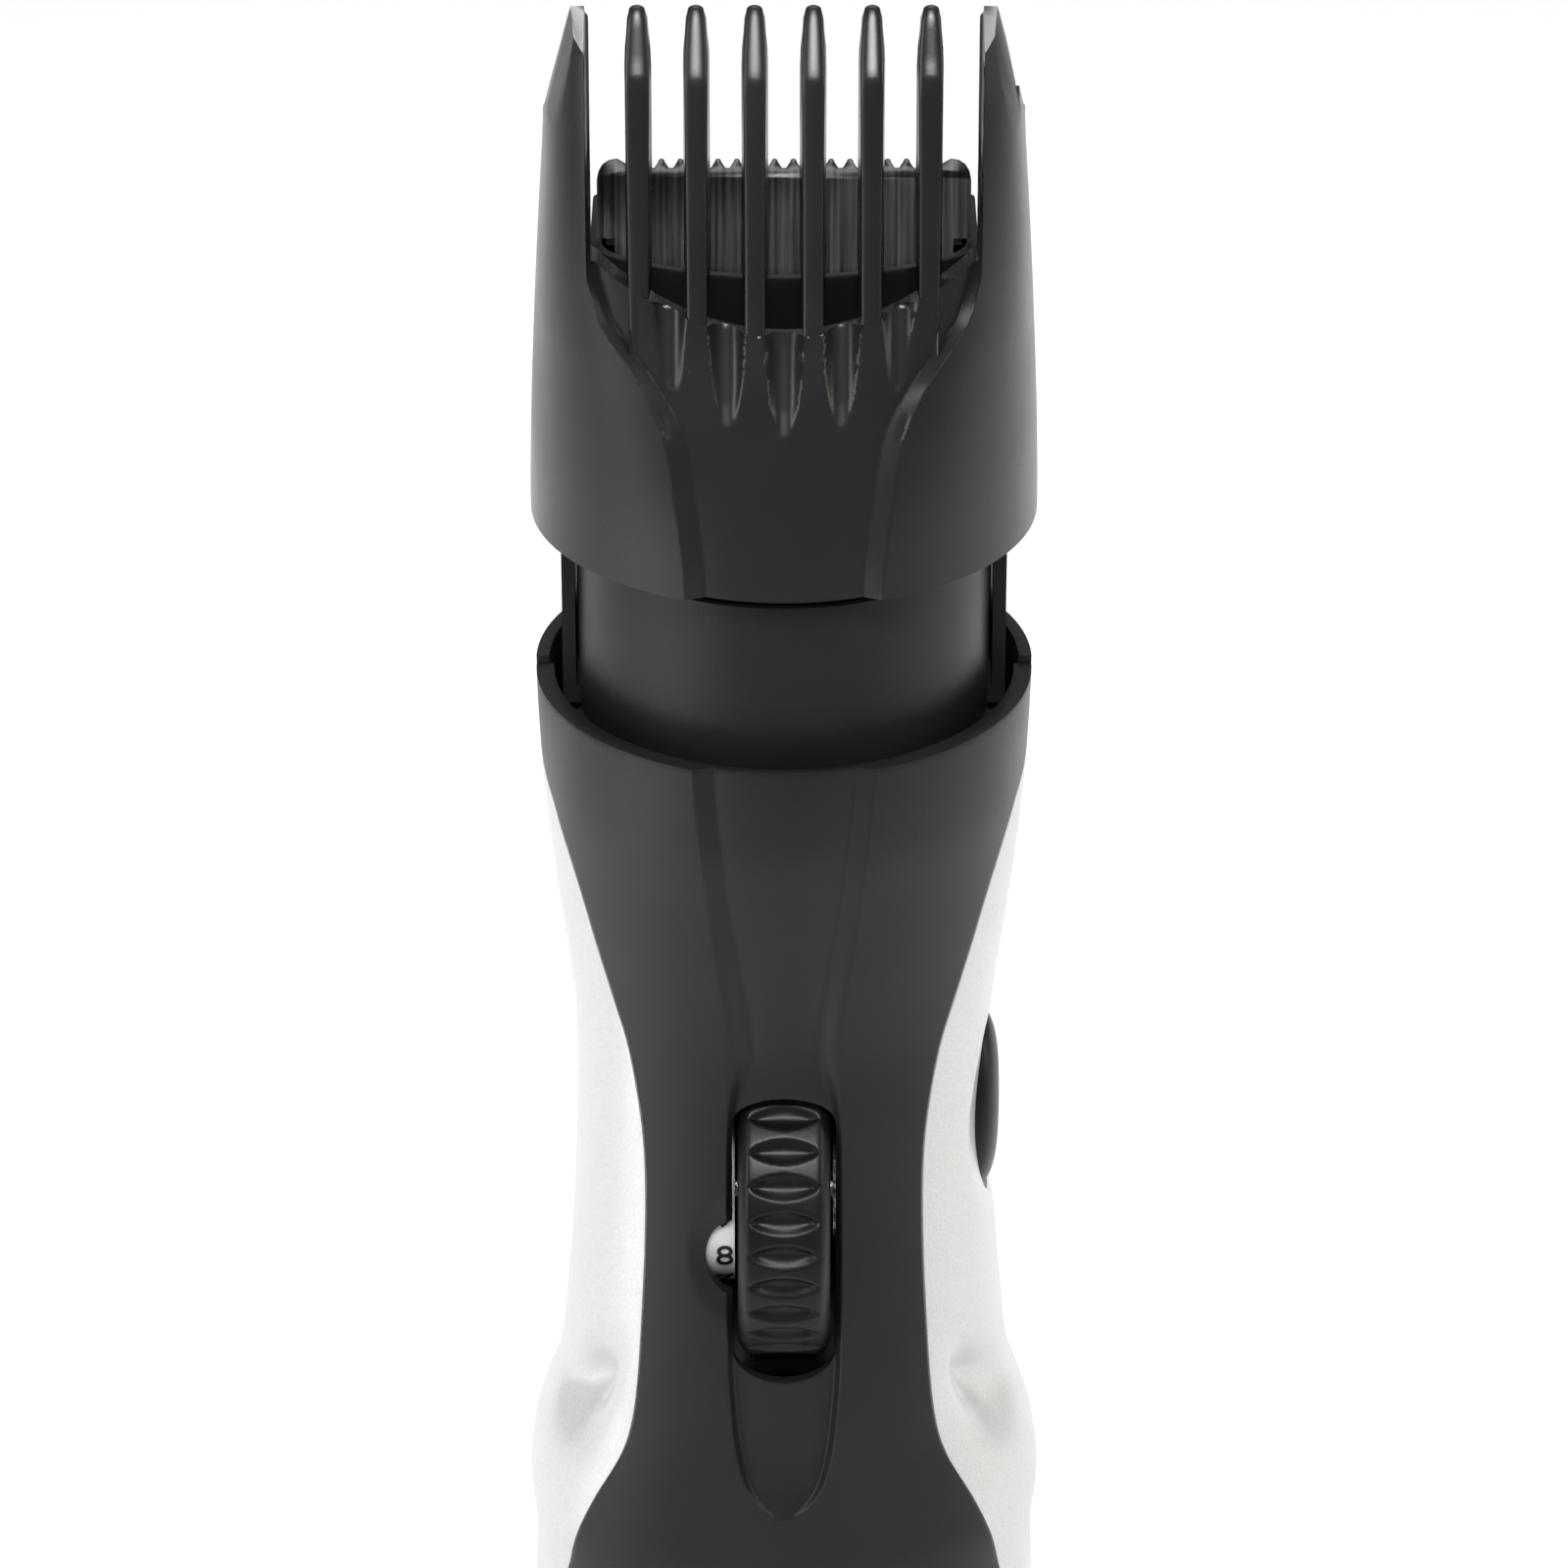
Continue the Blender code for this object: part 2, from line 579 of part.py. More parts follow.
def axle_parts():
    origin = (0, WHEEL_Y, WHEEL_Z)
    bore = AXLE_RADIUS + GAP
    drum = [(bore, -7.3), (DRUM_RADIUS - 0.3, -7.3), (DRUM_RADIUS, -7.0), (DRUM_RADIUS, -4.2), (bore, -4.2)]
    turned("number_drum", drum, (WHEEL_Y, WHEEL_Z), "x", 48, "white", True, origin)
    axle = [(AXLE_RADIUS, -9.9), (AXLE_RADIUS, 9.9)]
    turned("wheel_axle", axle, (WHEEL_Y, WHEEL_Z), "x", 24, "steel")
    outline = []
    step = TAU / GEAR_TEETH
    root, tip = PITCH_RADIUS - 0.65, PITCH_RADIUS + 0.42
    for i in range(GEAR_TEETH):
        middle = i * step
        for radius, half in ((root, 0.52 / root), (tip, 0.2 / tip)):
            outline.append((radius, middle - half))
        for radius, half in ((tip, 0.2 / tip), (root, 0.52 / root)):
            outline.append((radius, middle + half))
    gear = [(WHEEL_Y + r * math.cos(a), WHEEL_Z + r * math.sin(a)) for r, a in outline]
    hole = [(WHEEL_Y + bore * math.cos(a), WHEEL_Z + bore * math.sin(a)) for _, a in outline]
    rings = [[(x, y, z) for y, z in gear] for x in (4.2, 7.6)]
    rings += [[(x, y, z) for y, z in hole] for x in (7.6, 4.2)]
    make_object("pinion_gear", rings, "white", loop=True, origin=origin)


def rack_outline():
    """Rack bar with its teeth towards the front, and the arm back to the cross bar, as (y, z)."""
    pitch_line = WHEEL_Y + PITCH_RADIUS
    tip, root = pitch_line - 0.42, pitch_line + 0.65
    teeth = []
    for i in range(-2, 9):
        gap_z = WHEEL_Z + i * RACK_PITCH
        middle = gap_z + RACK_PITCH / 2
        teeth += [(root, middle - 0.52), (tip, middle - 0.2), (tip, middle + 0.2), (root, middle + 0.52)]
    return [(root, 72.3)] + teeth + [(root, 98.4), (10.6, 98.4), (10.6, 96.1), (1.7, 96.1), (1.7, 72.3)]


def carriage():
    rack = prism("comb_carriage", rack_outline(), "x", 4.6, 7.9, "black")
    yoke = [(-11.5, -1), (-10.4, -1), (-10.4, 9.8), (10.4, 9.8), (10.4, -1), (11.5, -1), (11.5, 11.2), (-11.5, 11.2)]
    join(rack, prism("yoke_tool", yoke, "z", 96.3, 98.2))
    arm = [(10.2, 95.8), (11.7, 95.8), (11.7, 121.2), (18.4, 121.2), (18.4, 143), (17.3, 143), (17.3, 122.6)]
    arm += [(10.2, 122.6)]
    for side in (-1, 1):
        join(rack, prism("arm_tool", [(side * x, z) for x, z in arm], "y", -2.6, 2.6))


def chassis():
    plate = prism("chassis", [(-9.6, 8.7), (9.6, 8.7), (9.6, 106), (-9.6, 106)], "y", 11.9, 13.1, "grey")
    join(plate, box("lower_shelf_tool", (-11, 11), (-4.1, 12.4), (8.6, 9.6)))
    join(plate, box("screw_ear_tool", (-16, 16), (-2.9, 2.9), (8.75, 9.45)))
    join(plate, box("upper_shelf_tool", (-11.5, 11.5), (-4, 12.4), (56.1, 57.3)))
    join(plate, box("motor_saddle_tool", (-5, 5), (10.4, 12.4), (103, 105.7)))
    join(plate, box("detent_post_tool", (-9.2, -4.6), (6, 12.4), (62, 66)))
    for side in (-1, 1):
        span = tuple(sorted((8.2 * side, 9.55 * side)))
        bracket = box("bracket_tool", span, (-9.2, 12.4), (71, 81.5))
        join(plate, bracket)
    axle_hole = [(AXLE_RADIUS + GAP, -12), (AXLE_RADIUS + GAP, 12)]
    cut(plate, turned("axle_hole_cutter", axle_hole, (WHEEL_Y, WHEEL_Z), "x", 24, "grey"))
    for side in (-1, 1):
        cut(plate, turned("ear_hole_cutter", [(1.3, 8), (1.3, 11)], (14 * side, 0), "z", 16, "grey"))


def detent_spring():
    centre = [(11.5, 66.5), (6.8, 66.5), (4.8, 68.0), (3.4, 73.5), (2.8, 76.5), (3.6, 79.5)]
    prism("detent_spring", strip_outline(centre, 0.35), "x", -7.0, -4.8, "steel")


# Power, switch and fasteners


def power():
    for side, name in ((-1, "battery_left"), (1, "battery_right")):
        profile = [(5.2, CELL_LOW), (5.2, CELL_HIGH - 0.9), (4.8, CELL_HIGH - 0.5), (1.9, CELL_HIGH - 0.5)]
        profile += [(1.9, CELL_HIGH)]
        turned(name, profile, (CELL_X * side, CELL_Y), "z", 32, "cell")
        span = tuple(sorted((2.2 * side, 9.5 * side)))
        contact_name = name.replace("battery", "battery_contact")
        box(contact_name, span, (-2, 6), (CELL_HIGH + GAP, CELL_HIGH + 0.7), "brass")
    box("battery_link", (-9.5, 9.5), (-2, 4), (9.9, 10.3), "brass")
    box("circuit_board", (-5.5, 5.5), (13.4, 14.6), (24, 92), "board")
    socket = box("charging_socket", (-7, 7), (-4.8, 4.8), (0.3, 8.2), "black")
    cut(socket, box("socket_mouth_cutter", (-6, 6), (-3.75, 3.75), (-1, 6.3)))
    for side, name in ((-1, "socket_pin_left"), (1, "socket_pin_right")):
        place = (3.9 * side, 0)
        cut(socket, turned("pin_hole_cutter", [(1.1, 5), (1.1, 9)], place, "z", 16, "black"))
        turned(name, [(0.5, 2.0), (0.8, 2.5), (0.8, 8.3)], place, "z", 16, "brass")


def power_button():
    rings = []
    for x, share in ((14.0, 1.0), (16.2, 1.0), (17.2, 1.0), (17.8, 0.94), (18.25, 0.78), (18.5, 0.5), (18.58, 0.2)):
        outline = ellipse((0, BUTTON_Z), (5.6 * share, 8.5 * share), 32)
        rings.append([(x, y, z) for y, z in outline])
    button = make_object("power_button", rings, "rubber", origin=(16, 0, BUTTON_Z))
    join(button, turned("plunger_tool", [(1.2, 12.7), (1.2, 14.6)], (-4.2, BUTTON_Z), "x", 16, "rubber"))
    box("switch_body", (9.9, 11.3), (-7.4, -3.2), (79, 85), "white")


def base_screws():
    for side, name in ((-1, "base_screw_left"), (1, "base_screw_right")):
        turned(name, [(2.0, 0.4), (2.0, 1.1), (1.0, 1.1), (1.0, 10.5)], (14 * side, 0), "z", 20, "steel")


# Guide comb


def comb_angles(section, z):
    half, slope, _ = at_height(COMB_RECESS, z)
    foot = angle_at(section, half - slope)
    brim = angle_at(section, half)
    right = spread(0, foot, 6) + [brim] + spread(brim, math.pi / 2, 5)[1:]
    back = spread(math.pi / 2, math.pi, 6)[1:]
    half_turn = right + back
    return half_turn + [-a for a in reversed(half_turn[1:-1])]


def comb_ring(z):
    outer_section = at_height(COMB_OUTER, z)
    inner_section = at_height(COMB_INNER, z)
    depth = at_height(COMB_RECESS, z)[2]
    angles = comb_angles(outer_section, z)
    count = len(angles)
    outer = []
    for i, angle in enumerate(angles):
        x, y = section_point(outer_section, angle)
        if min(i, count - i) <= 6:
            y += depth
        outer.append((x, y, z))
    inner = [(*section_point(inner_section, a), z) for a in angles]
    return outer, inner


def comb_gap_cutter(index):
    """Space between two teeth, which runs down the front wall as a scooped flute."""
    rise = COMB_GAP_RISE * index ** 2
    middle = index * COMB_PITCH
    rings = []
    for depth, low, half in COMB_GAP:
        floor = low + rise
        ring = [(middle - half, -depth, COMB_TOP + 4)]
        for k in range(10):
            angle = math.pi + math.pi * k / 9
            ring.append((middle + half * math.cos(angle), -depth, floor + half + half * math.sin(angle)))
        ring.append((middle + half, -depth, COMB_TOP + 4))
        rings.append(ring)
    return make_object("comb_gap_cutter", rings, "comb")


def guide_comb():
    pairs = [comb_ring(z) for z in COMB_ROWS]
    rings = [outer for outer, _ in pairs] + [inner for _, inner in reversed(pairs)]
    comb = make_object("guide_comb", rings, "comb", loop=True)
    cut(comb, prism("comb_roof_cutter", COMB_ROOF, "x", -30, 30))
    for side in (-1, 1):
        corner = [(16.5, 186), (19.1, 174.5), (30, 174.5), (30, 200), (16.5, 200)]
        cut(comb, prism("comb_corner_cutter", [(side * x, z) for x, z in corner], "y", -30, 30))
    for index in range(-3, 4):
        cut(comb, comb_gap_cutter(index))
    for side in (-1, 1):
        for end in (-1, 1):
            x_span = tuple(sorted((17.55 * side, 19.9 * side)))
            y_span = tuple(sorted((3.1 * end, 4.4 * end)))
            join(comb, box("rail_tool", x_span, y_span, (COMB_BOTTOM + 0.4, 146)))


clear_scene()
front_housing()
rear_housing()
side_panels()
base_cap()
head_tube()
blade_holder()
head_cap()
blades()
follower()
blade_spring()
motor()
thumb_wheel()
axle_parts()
carriage()
chassis()
detent_spring()
power()
power_button()
base_screws()
guide_comb()
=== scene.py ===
"""Looks of the hair clipper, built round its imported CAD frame.

Shapes are worked out in millimetres and scaled to metres when a mesh is made. +Z runs up the
handle, the front faces -Y, and the power button is on +X.
"""

import json
import math

import bmesh
import bpy
from mathutils import Euler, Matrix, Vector


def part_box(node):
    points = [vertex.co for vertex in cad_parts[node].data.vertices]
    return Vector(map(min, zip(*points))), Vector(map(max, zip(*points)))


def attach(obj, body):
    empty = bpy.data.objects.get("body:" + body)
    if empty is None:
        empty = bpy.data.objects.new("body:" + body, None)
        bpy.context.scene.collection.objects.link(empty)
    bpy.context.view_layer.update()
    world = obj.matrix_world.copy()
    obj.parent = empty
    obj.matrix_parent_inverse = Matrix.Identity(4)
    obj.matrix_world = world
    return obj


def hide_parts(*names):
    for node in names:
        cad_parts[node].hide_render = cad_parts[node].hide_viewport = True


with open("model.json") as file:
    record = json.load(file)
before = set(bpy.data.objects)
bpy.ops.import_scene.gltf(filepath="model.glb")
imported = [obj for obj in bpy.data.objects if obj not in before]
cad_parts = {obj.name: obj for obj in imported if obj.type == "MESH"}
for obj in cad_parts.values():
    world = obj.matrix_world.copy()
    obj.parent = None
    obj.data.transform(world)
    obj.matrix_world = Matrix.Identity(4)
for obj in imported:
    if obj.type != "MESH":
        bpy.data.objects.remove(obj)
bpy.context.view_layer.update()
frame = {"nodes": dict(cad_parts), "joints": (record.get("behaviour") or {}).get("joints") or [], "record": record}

MM = 0.001
TAU = 2 * math.pi
QUARTER = math.pi / 2


def node_range(node, axis):
    """Lowest and highest value of a CAD node along an axis, in millimetres."""
    low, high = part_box(node)
    return low[axis] / MM, high[axis] / MM


# Places that the frame gives, in millimetres

SHELL_BOTTOM, COLLAR_TOP = node_range("front_housing", 2)
REAR_COLLAR_TOP = node_range("rear_housing", 2)[1]
NECK_LOW, NECK_HIGH = node_range("head_tube", 2)
COMB_BOTTOM = node_range("guide_comb", 2)[0]
SILVER_START, SILVER_END = node_range("right_side_panel", 2)
WHEEL_LEFT, WHEEL_RIGHT = node_range("thumb_wheel", 0)
WHEEL_FRONT = node_range("thumb_wheel", 1)[0]
DRUM_LEFT, DRUM_RIGHT = node_range("number_drum", 0)
DRUM_FRONT = node_range("number_drum", 1)[0]
BUTTON_LOW, BUTTON_HIGH = node_range("power_button", 2)
BUTTON_OUT = node_range("power_button", 0)[1]
WHEEL_JOINT = next(joint for joint in frame["joints"] if joint["name"] == "wheel_turn")
WHEEL_Y = WHEEL_JOINT["pos_m"][1] / MM
WHEEL_Z = WHEEL_JOINT["pos_m"][2] / MM
WHEEL_RADIUS = WHEEL_Y - WHEEL_FRONT
DRUM_RADIUS = WHEEL_Y - DRUM_FRONT
BUTTON_Z = (BUTTON_LOW + BUTTON_HIGH) / 2

# Sizes and places chosen here

GAP = 0.3
SEAM = 0.12
NECK_RADIUS = 17.2
NECK_BORE = 15.6
FLANGE_RADIUS = 18.7
FLANGE_LOW = 119.4
FLANGE_HIGH = 121
SHELL_THICKNESS = 1.8
FRONT_COLLAR_THICKNESS = 1.5
REAR_COLLAR_THICKNESS = 1.1
PANEL_THICKNESS = 1.2
SILVER_LOW = 24.0
SILVER_HIGH = 117.0
DIMPLE_X = 17.4
DIMPLE_Z = 58.2
DIMPLE_DEPTH = 3.0
DISH_DEPTH = 0.9
SLOT_HALF_WIDTH = 4.4
SLOT_ARCH_START = 10.8
SLOT_ARCH_RISE = 2.9
WINDOW_X = -4.2
WINDOW_Z = 74.7
WINDOW_HALF_WIDTH = 2.45
WINDOW_HALF_HEIGHT = 3.5
SCREW_X = 14
COMB_PITCH = 4.58
COMB_BLANK_TOP = 188
FLUTE_HALF_WIDTH = 2.05
TOOTH_HALF_WIDTH = 0.8
TOOTH_ROUNDING = 0.35
AXLE_BORE = 1.5
WHEEL_NOTCHES = 30
NOTCH_DEPTH = 0.6
NOTCH_HALF_HEIGHT = 1.15
NOTCH_HALF_WIDTH = 3.1
NUMBER_X = -5.05
NUMBER_SIZE = 3.3
NUMBER_STEP = 30
NUMBER_AT_REST = 8
NUMBER_FACING = -18
BUTTON_HALF_WIDTH = 5.6
BUTTON_HALF_HEIGHT = 8.5
BUTTON_RIM = 16.6
BLADE_TOP = 170.8
BLADE_TOP_DEPTH = 5.6
BLADE_THICKNESS = 0.8
BLADE_TILT = math.radians(12)
BLADE_TEETH = 16
BLADE_PITCH = 1.5

# Height, half width, front depth, back depth, roundness power of the handle's section
HANDLE = [
    (0, 19.6, 16.6, 16.6, 2.5), (3, 21.2, 18.0, 18.0, 2.5), (12, 22.1, 18.9, 18.9, 2.5),
    (25, 22.3, 19.3, 19.3, 2.5), (35, 22.15, 19.2, 19.2, 2.5), (40, 22.0, 18.9, 19.1, 2.4),
    (45, 22.5, 18.6, 18.9, 2.35), (49, 22.0, 18.2, 18.6, 2.3), (52, 21.1, 17.9, 18.4, 2.3),
    (56, 19.8, 17.5, 18.2, 2.3), (62, 19.1, 17.0, 18.0, 2.3), (70, 18.4, 16.4, 17.8, 2.25),
    (78, 18.0, 16.0, 17.7, 2.2), (86, 17.8, 15.8, 17.8, 2.2), (93, 17.9, 15.9, 18.2, 2.15),
    (98, 18.5, 16.6, 18.7, 2.1), (104, 19.3, 17.9, 19.3, 2.05), (110, 19.95, 19.3, 19.9, 2.0),
    (116, 20.4, 20.6, 20.35, 2.0), (125, 20.7, 21.2, 20.7, 2.0),
]
# Height, share of the half width where the black panel meets the silver one
PANEL_EDGE = [
    (24, 0.998), (30, 0.965), (36, 0.91), (40.4, 0.862), (45.2, 0.80), (50.2, 0.735), (54, 0.69),
    (60, 0.66), (68, 0.655), (76.5, 0.652), (85, 0.668), (92, 0.72), (99, 0.79), (107.7, 0.871),
    (113.8, 0.95), (117, 0.998),
]
# Height, outer half width, slope width and depth of the front channel
CHANNEL = [
    (0, 1.0, 0.5, 0.0), (49.9, 1.0, 0.5, 0.0), (50.9, 1.9, 0.5, 0.3), (52.2, 3.0, 0.6, 0.65),
    (53.8, 3.7, 0.6, 0.85), (56.3, 4.3, 0.7, 1.0), (60, 4.7, 0.7, 1.0), (65, 5.0, 0.8, 1.0),
    (88, 4.9, 0.9, 1.0), (95, 4.8, 2.2, 1.1),
    (104, 5.6, 1.9, 0.95), (112, 6.4, 1.6, 0.9), (125, 7.4, 1.6, 0.9),
]
# Height, half width, front depth, back depth, roundness power of the comb's outside
COMB_OUTER = [
    (138.6, 20.9, 20.9, 20.9, 2.0), (146, 20.75, 20.6, 20.75, 2.1), (151, 20.55, 19.9, 20.4, 2.25),
    (156, 20.3, 18.9, 20.0, 2.5), (160.4, 20.05, 17.7, 19.6, 2.9), (166, 19.7, 16.7, 19.2, 3.4),
    (172, 19.3, 16.0, 18.8, 3.8), (180, 18.9, 15.3, 18.4, 4.0), (188, 18.6, 14.7, 18.0, 4.0),
]
COMB_INNER = [
    (138.6, 19.5, 18.6, 19.5, 2.0), (146, 19.3, 18.2, 19.3, 2.0), (151, 19.0, 17.5, 18.9, 2.1),
    (156, 18.75, 15.8, 18.5, 2.4), (160.4, 18.5, 14.6, 18.1, 3.0), (168, 17.9, 10.2, 17.5, 6.0),
    (188, 17.0, 9.2, 16.8, 8.0),
]
# Height, outer half width, slope width and depth of the comb's sunken front
COMB_RECESS = [
    (138.6, 7.9, 1.6, 1.2), (148.3, 8.85, 1.6, 1.25), (152.1, 9.5, 1.6, 1.3), (154.2, 10.4, 1.5, 1.3),
    (156.2, 11.4, 1.2, 1.3), (160.3, 14.4, 1.0, 1.3), (162.5, 15.1, 0.8, 1.3), (164.5, 15.6, 0.6, 1.3),
    (188, 15.6, 0.6, 1.3),
]
# Depth and height along the floor of the flutes between the comb's teeth
FLUTE = [(25, 137.0), (18.5, 152.0), (17.4, 154.2), (14.9, 160.2)]
# How much higher each flute starts, counted from the middle one
FLUTE_STARTS = [0.0, 0.5, 2.0, 6.5]
# Height of the comb's front wall in the middle, and its rise at one tooth pitch from there
FRONT_TOP = 160.1
TOP_RISE = 0.48
# Height, half width, front depth, back depth, roundness power of the black head
HEAD = [
    (137.3, 17.2, 17.2, 17.2, 2.0), (141, 16.9, 15.6, 17.0, 2.1), (146, 16.4, 13.3, 16.0, 2.4),
    (150, 16.0, 11.0, 14.6, 2.8), (154, 15.8, 9.1, 13.0, 4.4), (158, 15.6, 9.1, 11.4, 8.0),
    (164.3, 15.5, 9.1, 4.2, 10.0),
]


# Curves and sections


def at_height(table, z):
    """Read a table of stations at a height, on a smooth curve through its rows."""
    z = min(max(z, table[0][0]), table[-1][0])
    k = 0
    while k < len(table) - 2 and z > table[k + 1][0]:
        k += 1
    low, high = table[k], table[k + 1]
    before = table[max(k - 1, 0)]
    after = table[min(k + 2, len(table) - 1)]
    span = high[0] - low[0]
    t = (z - low[0]) / span
    values = []
    for j in range(1, len(low)):
        start = (high[j] - before[j]) / (high[0] - before[0]) * span
        end = (after[j] - low[j]) / (after[0] - low[0]) * span
        if (high[j] - low[j]) * (low[j] - before[j]) <= 0:
            start = 0.0
        if (after[j] - high[j]) * (high[j] - low[j]) <= 0:
            end = 0.0
        rise = high[j] - low[j]
        values.append(
            low[j] + start * t + (3 * rise - 2 * start - end) * t * t + (start + end - 2 * rise) * t ** 3
        )
    return values


def spread(low, high, count):
    return [low + (high - low) * i / count for i in range(count + 1)]


def smooth_step(value):
    value = min(max(value, 0.0), 1.0)
    return value * value * (3 - 2 * value)


def section_point(section, angle, inset=0.0):
    """Point of a rounded section. Angle 0 is the front, and a quarter turn is the +X side."""
    half_width, front, back, power = section
    side = math.sin(angle)
    ahead = math.cos(angle)
    depth = front if ahead >= 0 else back
    x = (half_width - inset) * math.copysign(abs(side) ** (2 / power), side)
    y = -(depth - inset) * math.copysign(abs(ahead) ** (2 / power), ahead)
    return x, y


def angle_at(section, x):
    half_width, power = section[0], section[3]
    return math.asin(min(1.0, (x / half_width) ** (power / 2)))


def ellipse(centre, radii, count, start=0.0):
    angles = [start + TAU * i / count for i in range(count)]
    return [(centre[0] + radii[0] * math.cos(a), centre[1] + radii[1] * math.sin(a)) for a in angles]


# Meshes


def finish_mesh(name, mesh, smooth_angle=35):
    bmesh.ops.recalc_face_normals(mesh, faces=mesh.faces)
    data = bpy.data.meshes.new(name)
    mesh.to_mesh(data)
    mesh.free()
    data.shade_smooth()
    data.set_sharp_from_angle(angle=math.radians(smooth_angle))
    made = bpy.data.objects.new(name, data)
    bpy.context.scene.collection.objects.link(made)
    return made


def add_points(mesh, rows):
    return [[mesh.verts.new([value * MM for value in point]) for point in row] for row in rows]


def make_skin(name, rings, loop=False, smooth_angle=35):
    """Skin a list of rings of equal length.

    A loop joins the last ring to the first, and otherwise both ends are capped.
    """
    mesh = bmesh.new()
    rows = add_points(mesh, rings)
    pairs = list(zip(rows, rows[1:]))
    if loop:
        pairs.append((rows[-1], rows[0]))
    else:
        mesh.faces.new(rows[0])
        mesh.faces.new(rows[-1])
    count = len(rows[0])
    for low, high in pairs:
        for i in range(count):
            j = (i + 1) % count
            mesh.faces.new((low[i], low[j], high[j], high[i]))
    return finish_mesh(name, mesh, smooth_angle)


def make_shell(name, outer_rows, inner_rows):
    """Closed shell between two grids of points that have the same rows and columns."""
    mesh = bmesh.new()
    outer = add_points(mesh, outer_rows)
    inner = add_points(mesh, inner_rows)
    last = len(outer[0]) - 1
    for r in range(len(outer) - 1):
        for c in range(last):
            mesh.faces.new((outer[r][c], outer[r][c + 1], outer[r + 1][c + 1], outer[r + 1][c]))
            mesh.faces.new((inner[r][c], inner[r + 1][c], inner[r + 1][c + 1], inner[r][c + 1]))
        for c in (0, last):
            mesh.faces.new((outer[r][c], outer[r + 1][c], inner[r + 1][c], inner[r][c]))
    for r in (0, len(outer) - 1):
        for c in range(last):
            mesh.faces.new((outer[r][c], inner[r][c], inner[r][c + 1], outer[r][c + 1]))
    return finish_mesh(name, mesh)


def prism(name, outline, axis, low, high):
    """Extrude an outline. Its points are (y, z) for axis x, (x, z) for axis y and (x, y) for axis z."""
    place = {
        "x": lambda a, b, h: (h, a, b),
        "y": lambda a, b, h: (a, h, b),
        "z": lambda a, b, h: (a, b, h),
    }[axis]
    rings = [[place(a, b, h) for a, b in outline] for h in (low, high)]
    return make_skin(name, rings)


def box(name, x_range, y_range, z_range):
    (x0, x1), (y0, y1) = x_range, y_range
    return prism(name, [(x0, y0), (x1, y0), (x1, y1), (x0, y1)], "z", *z_range)


def turned(name, profile, centre, axis, count, loop=False):
    """Turn (radius, height) points about an axis through centre, which holds the other two coordinates."""
    rings = []
    for radius, height in profile:
        circle = ellipse(centre, (radius, radius), count)
        if axis == "x":
            rings.append([(height, a, b) for a, b in circle])
        elif axis == "y":
            rings.append([(a, height, b) for a, b in circle])
        else:
            rings.append([(a, b, height) for a, b in circle])
    return make_skin(name, rings, loop)


def apply_modifiers(made):
    graph = bpy.context.evaluated_depsgraph_get()
    data = bpy.data.meshes.new_from_object(made.evaluated_get(graph))
    made.modifiers.clear()
    made.data = data


def cut(target, *tools):
    """Cut the tools away, then remove them."""
    for tool in tools:
        modifier = target.modifiers.new("cut", "BOOLEAN")
        modifier.operation = "DIFFERENCE"
        modifier.solver = "MANIFOLD"
        modifier.object = tool
    bpy.context.view_layer.update()
    apply_modifiers(target)
    for tool in tools:
        bpy.data.objects.remove(tool)


def soften(target, width, angle=40, segments=2):
    """Round the edges that are sharper than the angle."""
    modifier = target.modifiers.new("soft_edges", "BEVEL")
    modifier.width = width * MM
    modifier.segments = segments
    modifier.limit_method = "ANGLE"
    modifier.angle_limit = math.radians(angle)
    modifier.use_clamp_overlap = True
    modifier.harden_normals = False
    apply_modifiers(target)
    target.data.shade_smooth()
    target.data.set_sharp_from_angle(angle=math.radians(50))


# Materials


def new_material(name, colour, roughness, metallic=0.0, specular=0.5):
    material = bpy.data.materials.new(name)
    material.use_nodes = True
    shader = material.node_tree.nodes["Principled BSDF"]
    shader.inputs["Base Color"].default_value = (*colour, 1.0)
    shader.inputs["Roughness"].default_value = roughness
    shader.inputs["Metallic"].default_value = metallic
    shader.inputs["Specular IOR Level"].default_value = specular
    return material, material.node_tree.nodes, material.node_tree.links, shader


def add_noise(nodes, links, scale, detail=3.0, stretch=(1.0, 1.0, 1.0)):
    """Noise in the object's own metres. A stretch under 1 draws it out along that axis."""
    place = nodes.new("ShaderNodeTexCoord")
    mapping = nodes.new("ShaderNodeMapping")
    mapping.inputs["Scale"].default_value = stretch
    noise = nodes.new("ShaderNodeTexNoise")
    noise.inputs["Scale"].default_value = scale
    noise.inputs["Detail"].default_value = detail
    links.new(place.outputs["Object"], mapping.inputs["Vector"])
    links.new(mapping.outputs["Vector"], noise.inputs["Vector"])
    return noise


def vary_roughness(nodes, links, shader, noise, low, high):
    remap = nodes.new("ShaderNodeMapRange")
    remap.inputs["From Min"].default_value = 0.3
    remap.inputs["From Max"].default_value = 0.7
    remap.inputs["To Min"].default_value = low
    remap.inputs["To Max"].default_value = high
    links.new(noise.outputs["Fac"], remap.inputs["Value"])
    links.new(remap.outputs["Result"], shader.inputs["Roughness"])


def vary_colour(nodes, links, shader, noise, dark, light):
    ramp = nodes.new("ShaderNodeValToRGB")
    ramp.color_ramp.elements[0].position = 0.35
    ramp.color_ramp.elements[0].color = (*dark, 1.0)
    ramp.color_ramp.elements[1].position = 0.65
    ramp.color_ramp.elements[1].color = (*light, 1.0)
    links.new(noise.outputs["Fac"], ramp.inputs["Fac"])
    links.new(ramp.outputs["Color"], shader.inputs["Base Color"])


def add_bump(nodes, links, shader, noise, height, strength=1.0):
    bump = nodes.new("ShaderNodeBump")
    bump.inputs["Distance"].default_value = height * MM
    bump.inputs["Strength"].default_value = strength
    links.new(noise.outputs["Fac"], bump.inputs["Height"])
    links.new(bump.outputs["Normal"], shader.inputs["Normal"])


